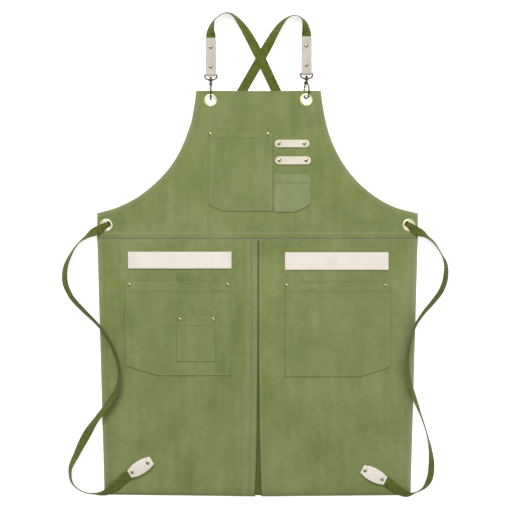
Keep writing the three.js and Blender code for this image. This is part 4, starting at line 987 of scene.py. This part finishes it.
for word, z in (("bib", bibEyeletTop + 0.1), ("waist", waistEyeletTop + 0.1)):
    centres = [place(x, y, 0) for x, y in cloth[word + "Spots"]]
    ring = repeated(f"{word}Eyelets", eyeletCopy("eyelet", z), centres, paleBrass)
    finish(ring, "root", "eyelet_metal", f"eyelet_{word}_left", f"eyelet_{word}_right")

# Rivets: where the frame has them, each cap on the cloth or leather that it holds down
rivet = {"radius": 4.2, "height": 1.35, "post": 1.3, "count": 20}
rivetProfile = [(0.25, rivet["height"]), (1.3, 1.28), (2.3, 1.1), (3.1, 0.82), (3.75, 0.45), (4.1, 0.12),
                (rivet["radius"], -0.1), (4.0, -0.25), (rivet["post"], -0.25), (rivet["post"], -2.0),
                (0.25, -2.0)]
spots = []
for k in range(rivet["count"]):
    low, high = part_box(f"rivet_{k + 1}")
    x, y = (low.x + high.x) * 500 - middleX, (low.y + high.y) * 500 - waistY
    spots.append(place(x, y, surface(x + 3, y) + 0.1))
rivets = repeated("rivetCaps", lathed("rivet", rivetProfile, rivetBrassDarkReflection, 28), spots, rivetBrassDarkReflection)
finish(rivets, "root", "rivet_metal", *[f"rivet_{k + 1}" for k in range(rivet["count"])])
print("eyelets and rivets ready")


# Bent wire along points, with its section turned from one fixed direction
def wire(points, radius, sides=12, closed=False, normal=(0, 0, 1)):
    points = [Vector(p) for p in points]
    normal, count = Vector(normal).normalized(), len(points)
    out, faces = [], []
    for i, p in enumerate(points):
        a = points[(i - 1) % count] if closed or i else p
        b = points[(i + 1) % count] if closed or i < count - 1 else p
        tangent = (b - a).normalized()
        side = normal.cross(tangent).normalized()
        up = tangent.cross(side)
        for k in range(sides):
            t = 2 * math.pi * k / sides
            out.append(p + side * (math.cos(t) * radius) + up * (math.sin(t) * radius))
    for i in range(count if closed else count - 1):
        faces += band(i * sides, ((i + 1) % count) * sides, sides)
    return out, faces + ([] if closed else ringEnds(count, sides))


# Turned piece along a line: rows of (distance, radius)
def turned(start, direction, rows, sides=24):
    direction = Vector(direction).normalized()
    side = direction.orthogonal().normalized()
    up = direction.cross(side)
    out, faces = [], []
    for along, radius in rows:
        middle = Vector(start) + direction * along
        for k in range(sides):
            t = 2 * math.pi * k / sides
            out.append(middle + side * (math.cos(t) * radius) + up * (math.sin(t) * radius))
    for i in range(len(rows) - 1):
        faces += band(i * sides, (i + 1) * sides, sides)
    return out, faces + ringEnds(len(rows), sides)


def joined(name, parts, move, material):
    points, faces = [], []
    for some, these in parts:
        base = len(points)
        points += [place(*move(p)) for p in some]
        faces += [tuple(base + i for i in face) for face in these]
    thing = meshObject(name, points, faces, material)
    outwards(thing)
    return thing


def curved(points, count):
    ends = [points[0]] + points + [points[-1]]
    out = []
    for i in range(len(points) - 1):
        a, b, c, d = (Vector(p) for p in ends[i:i + 4])
        for k in range(count):
            t = k / count
            out.append(0.5 * (2 * b + (c - a) * t + (2 * a - 5 * b + 4 * c - d) * t * t
                              + (3 * b - a - 3 * c + d) * t ** 3))
    return out + [Vector(points[-1])]


# D-loops with their swivel bosses, and the snap hooks that turn in them
hook = {"wire": 3.2, "spread": 13.5, "length": 30.5, "gate": 2.2, "loopWide": 29.5, "loopDrop": 12,
        "tabWidth": 22, "belowLoop": 4.6, "turn": {"left": 90, "right": 45}}


def loopParts(barZ, bossZ):
    radius, halfWide, drop = hook["wire"] / 2, (hook["loopWide"] - hook["wire"]) / 2, hook["loopDrop"]
    tilt = (bossZ - barZ) / drop
    straight = hook["tabWidth"] / 2 + 2 * cloth["gap"]
    plan = [(straight * share, 0) for share in (-1, -0.5, 0, 0.5, 1)] + [(mix(straight, halfWide, 0.8), -0.9)]
    for a in np.radians(np.linspace(0, -180, 25)):
        c = math.cos(a)
        plan.append((math.copysign(abs(c) ** 0.8, c) * halfWide, -2.8 + math.sin(a) * (drop - 2.8)))
    plan.append((-mix(straight, halfWide, 0.8), -0.9))
    ring = wire([(x, y, barZ - tilt * y) for x, y in plan], radius, 14, True)
    bossProfile = [(0, 3.6), (0.4, 4.4), (1.0, 4.75), (4.4, 4.75), (5.0, 4.4), (5.4, 3.6)]
    boss = turned((0, -drop + 2.7, bossZ), (0, -1, 0), bossProfile)
    return [ring, boss]


def hookParts():
    radius, halfWide, length = hook["wire"] / 2, hook["spread"] / 2, hook["length"]
    pivot = (-2.3, length - 4.4)
    spine = [(0.4, length - 1, 0), (1.4, length - 4, 0), (4.6, length - 8.5, 0), (halfWide, length - 14, 0),
             (halfWide, 4, 0)]
    start = curved(spine, 6)
    bend = [(math.cos(a) * halfWide, math.sin(a) * halfWide, 0) for a in np.radians(np.linspace(0, -180, 19))]
    nose = [(-halfWide, pivot[1] - 13.5, 0), (-halfWide, pivot[1] - 11.5, 0)]
    parts = [wire(start + bend + nose, radius, 14)]
    swivel = [(0, 2.2), (0.4, 2.8), (1.6, 2.9), (2.0, 2.4), (2.1, radius), (10.4, radius), (10.5, 3.0),
              (11.6, 3.2), (12.4, 2.4), (12.8, 1.2)]
    parts.append(turned((0, length - 1.6, 0), (0, 1, 0), swivel))
    for low in (-2.9, hook["gate"] / 2 + 0.4):
        parts.append(turned((*pivot, low), (0, 0, 1), [(0, 2.7), (0.25, 3.0), (1.15, 3.0), (1.4, 2.7)]))
    parts.append(turned((*pivot, -3.1), (0, 0, 1), [(0, 0.6), (0.2, 0.8), (6.0, 0.8), (6.2, 0.6)], 16))
    return parts


leatherThick, gap = web["tabLeather"], cloth["gap"]
barZ = leatherThick + gap + hook["wire"] / 2
for strap in straps:
    word, startX = strap["word"], strap["start"]
    turn = math.radians(hook["turn"][word])
    barY = strap["tabTop"] - web["tabLength"] + hook["wire"] / 2 + gap + leatherThick
    bendY = barY - hook["loopDrop"] - hook["belowLoop"] - hook["length"]
    hookZ = hook["wire"] / 2 + gap / 2 + hook["spread"] / 2 * math.sin(turn)

    def underTab(p):
        return p[0] + startX, p[1] + barY, p[2]

    def inEyelet(p):
        return (p[0] * math.cos(turn) - p[2] * math.sin(turn) + startX, p[1] + bendY,
                p[0] * math.sin(turn) + p[2] * math.cos(turn) + hookZ)

    loop = joined(f"dLoop{word.title()}", loopParts(barZ, hookZ), underTab, antiqueBrass)
    finish(loop, "root", "hook_metal", f"d_loop_{word}")
    body = joined(f"snapHook{word.title()}", hookParts(), inEyelet, antiqueBrass)
    finish(body, "root", "hook_metal", f"snap_hook_{word}")
    lever = softened(f"gate_{word}", f"gate{word.title()}Lever", antiqueBrass, leverEdge)
    finish(lever, f"gate_{word}", "hook_metal", f"gate_{word}")
print("hooks ready")


# Stitches: a tree lays short lengths of thread along every seam
def stitchTree():
    sockets = (("Geometry", "Geometry"), ("Spacing", "Float"), ("Length", "Float"), ("Thickness", "Float"),
               ("Material", "Material"))
    tree, given = nodeTree("stitchesAlongSeams", sockets)
    line = addNode(tree, "GeometryNodeMeshToCurve", None, {"Mesh": given["Geometry"]})
    even = addNode(tree, "GeometryNodeResampleCurve", {"mode": "LENGTH"},
                   {"Curve": line.outputs[0], "Length": given["Spacing"]})
    tangent = addNode(tree, "GeometryNodeInputTangent").outputs[0]
    aligned = addNode(tree, "FunctionNodeAlignRotationToVector", {"axis": "X"}, {"Vector": tangent})
    bead = addNode(tree, "GeometryNodeMeshUVSphere", {"Segments": 6, "Rings": 4, "Radius": 0.5})
    size = addNode(tree, "ShaderNodeCombineXYZ", None,
                   {0: given["Length"], 1: given["Thickness"], 2: given["Thickness"]})
    return madeReal(tree, given, {"Points": even.outputs[0], "Instance": bead.outputs[0],
                                  "Rotation": aligned.outputs[0], "Scale": size.outputs[0]})


stitch = {"spacing": 3.6, "length": 2.7, "thickness": 0.75, "above": 0.12, "end": 4, "hemIn": 9.5,
          "seamRows": (4, 9.5), "pocketIn": 2.6, "bandIn": (3.5, 7.5), "downs": 30}
seams = []


def seamRun(plan, names):
    distances = np.cumsum([0] + [math.dist(a, b) for a, b in zip(plan, plan[1:])])
    marks = np.linspace(0, distances[-1], max(2, round(distances[-1] / 3)))
    xs, ys = (np.interp(marks, distances, [p[k] for p in plan]) for k in (0, 1))
    seams.append([place(x, y, surface(x, y, names) + stitch["above"]) for x, y in zip(xs, ys)])


def inset(outline, by):
    out = []
    for i, (x, y) in enumerate(outline):
        before, after = Vector(outline[i - 1]), Vector(outline[(i + 1) % len(outline)])
        a, b = (Vector((x, y)) - before).normalized(), (after - Vector((x, y))).normalized()
        bisector = Vector((-a.y - b.y, a.x + b.x)).normalized()
        out.append(tuple(Vector((x, y)) + bisector * by / max(bisector.dot(Vector((-b.y, b.x))), 0.2)))
    return out


hemIn, skirtFoot = stitch["hemIn"], -cloth["skirtLength"]
for side in (-1, 1):
    edgeX = side * (waistHalf - hemIn)
    seamRun([(edgeX, 3), (edgeX, cloth["sideHeight"] - 8)], ["bibCloth"])
    arm = []
    for a, b in zip(armSide[side][3:], armSide[side][4:]):
        direction = (Vector(b) - Vector(a)).normalized()
        arm.append((a[0] - side * direction.y * hemIn, a[1] + side * direction.x * hemIn))
    seamRun([p for p in arm if p[1] < bibHeight - 3], ["bibCloth"])
    cloths = ["skirtLeftCloth" if side < 0 else "skirtRightCloth"]
    downs = np.linspace(-stitch["end"], skirtFoot + stitch["end"], stitch["downs"])
    seamRun([(side * (skirtHalf(y) - hemIn), y) for y in downs], cloths)
    footY = skirtFoot + hemIn
    inner = cloth["slitX"] + side * (slitHalf(footY) + 2)
    seamRun([(side * (skirtHalf(footY) - stitch["end"]), footY), (inner, footY)], cloths)
    plackets = (skirts["leftPlacket"] - 2, 2.5) if side < 0 else (skirts["rightPlacket"] - 1.5,)
    for wide in plackets:
        seamRun([(cloth["slitX"] + side * (slitHalf(y) + wide), y) for y in downs], cloths)
for y in stitch["seamRows"]:
    seamRun([(-waistHalf + stitch["end"], y), (waistHalf - stitch["end"], y)], ["bibCloth"])
for y in (bibHeight - cloth["facing"] + 2.5, bibHeight - 3):
    seamRun([(float(bibEdge(y, -1)) + 8, y), (float(bibEdge(y, 1)) - 8, y)], ["bibCloth"])
for pocket in pockets:
    names = [pocket["name"] + "Cloth"]
    line = inset(pocketOutline(pocket), stitch["pocketIn"])
    seamRun([line[-1], *line[:-1]], names)
    y = pocket["top"] - pocket["hemDown"] + 2
    seamRun([(pocket["x"] - pocket["wide"] / 2 + 5, y), (pocket["x"] + pocket["wide"] / 2 - 5, y)], names)


def sewn(name, runs, material):
    mesh = bpy.data.meshes.new(name)
    points, edges = [], []
    for run in runs:
        edges += [(len(points) + k, len(points) + k + 1) for k in range(len(run) - 1)]
        points += run
    mesh.from_pydata(points, edges, [])
    thing = bpy.data.objects.new(name, mesh)
    bpy.context.collection.objects.link(thing)
    nodesApplied(thing, stitches, {"Spacing": stitch["spacing"] / 1000, "Length": stitch["length"] / 1000,
                                   "Thickness": stitch["thickness"] / 1000, "Material": material})
    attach(thing, "root")


stitches = stitchTree()
sewn("canvasStitches", seams, thread)
seams = []
for trim in trims[:2]:
    reach = trim["high"] / 2 - 2
    for end in (-1, 1):
        for step in stitch["bandIn"]:
            x = trim["x"] + end * (trim["wide"] / 2 - step)
            seamRun([(x, trim["y"] - reach), (x, trim["y"] + reach)], [trim["name"] + "Leather"])
sewn("bandStitches", seams, leather)
print("stitches ready")


# Flat areas of the pockets' cut outlines, in square metres, worked out and not kept
def flatArea(outline):
    return abs(sum(a[0] * b[1] - b[0] * a[1] for a, b in zip(outline, outline[1:] + outline[:1]))) / 2e6


for pocket, thing in zip(pockets, pocketSheets):
    flatArea(pocketOutline(pocket))
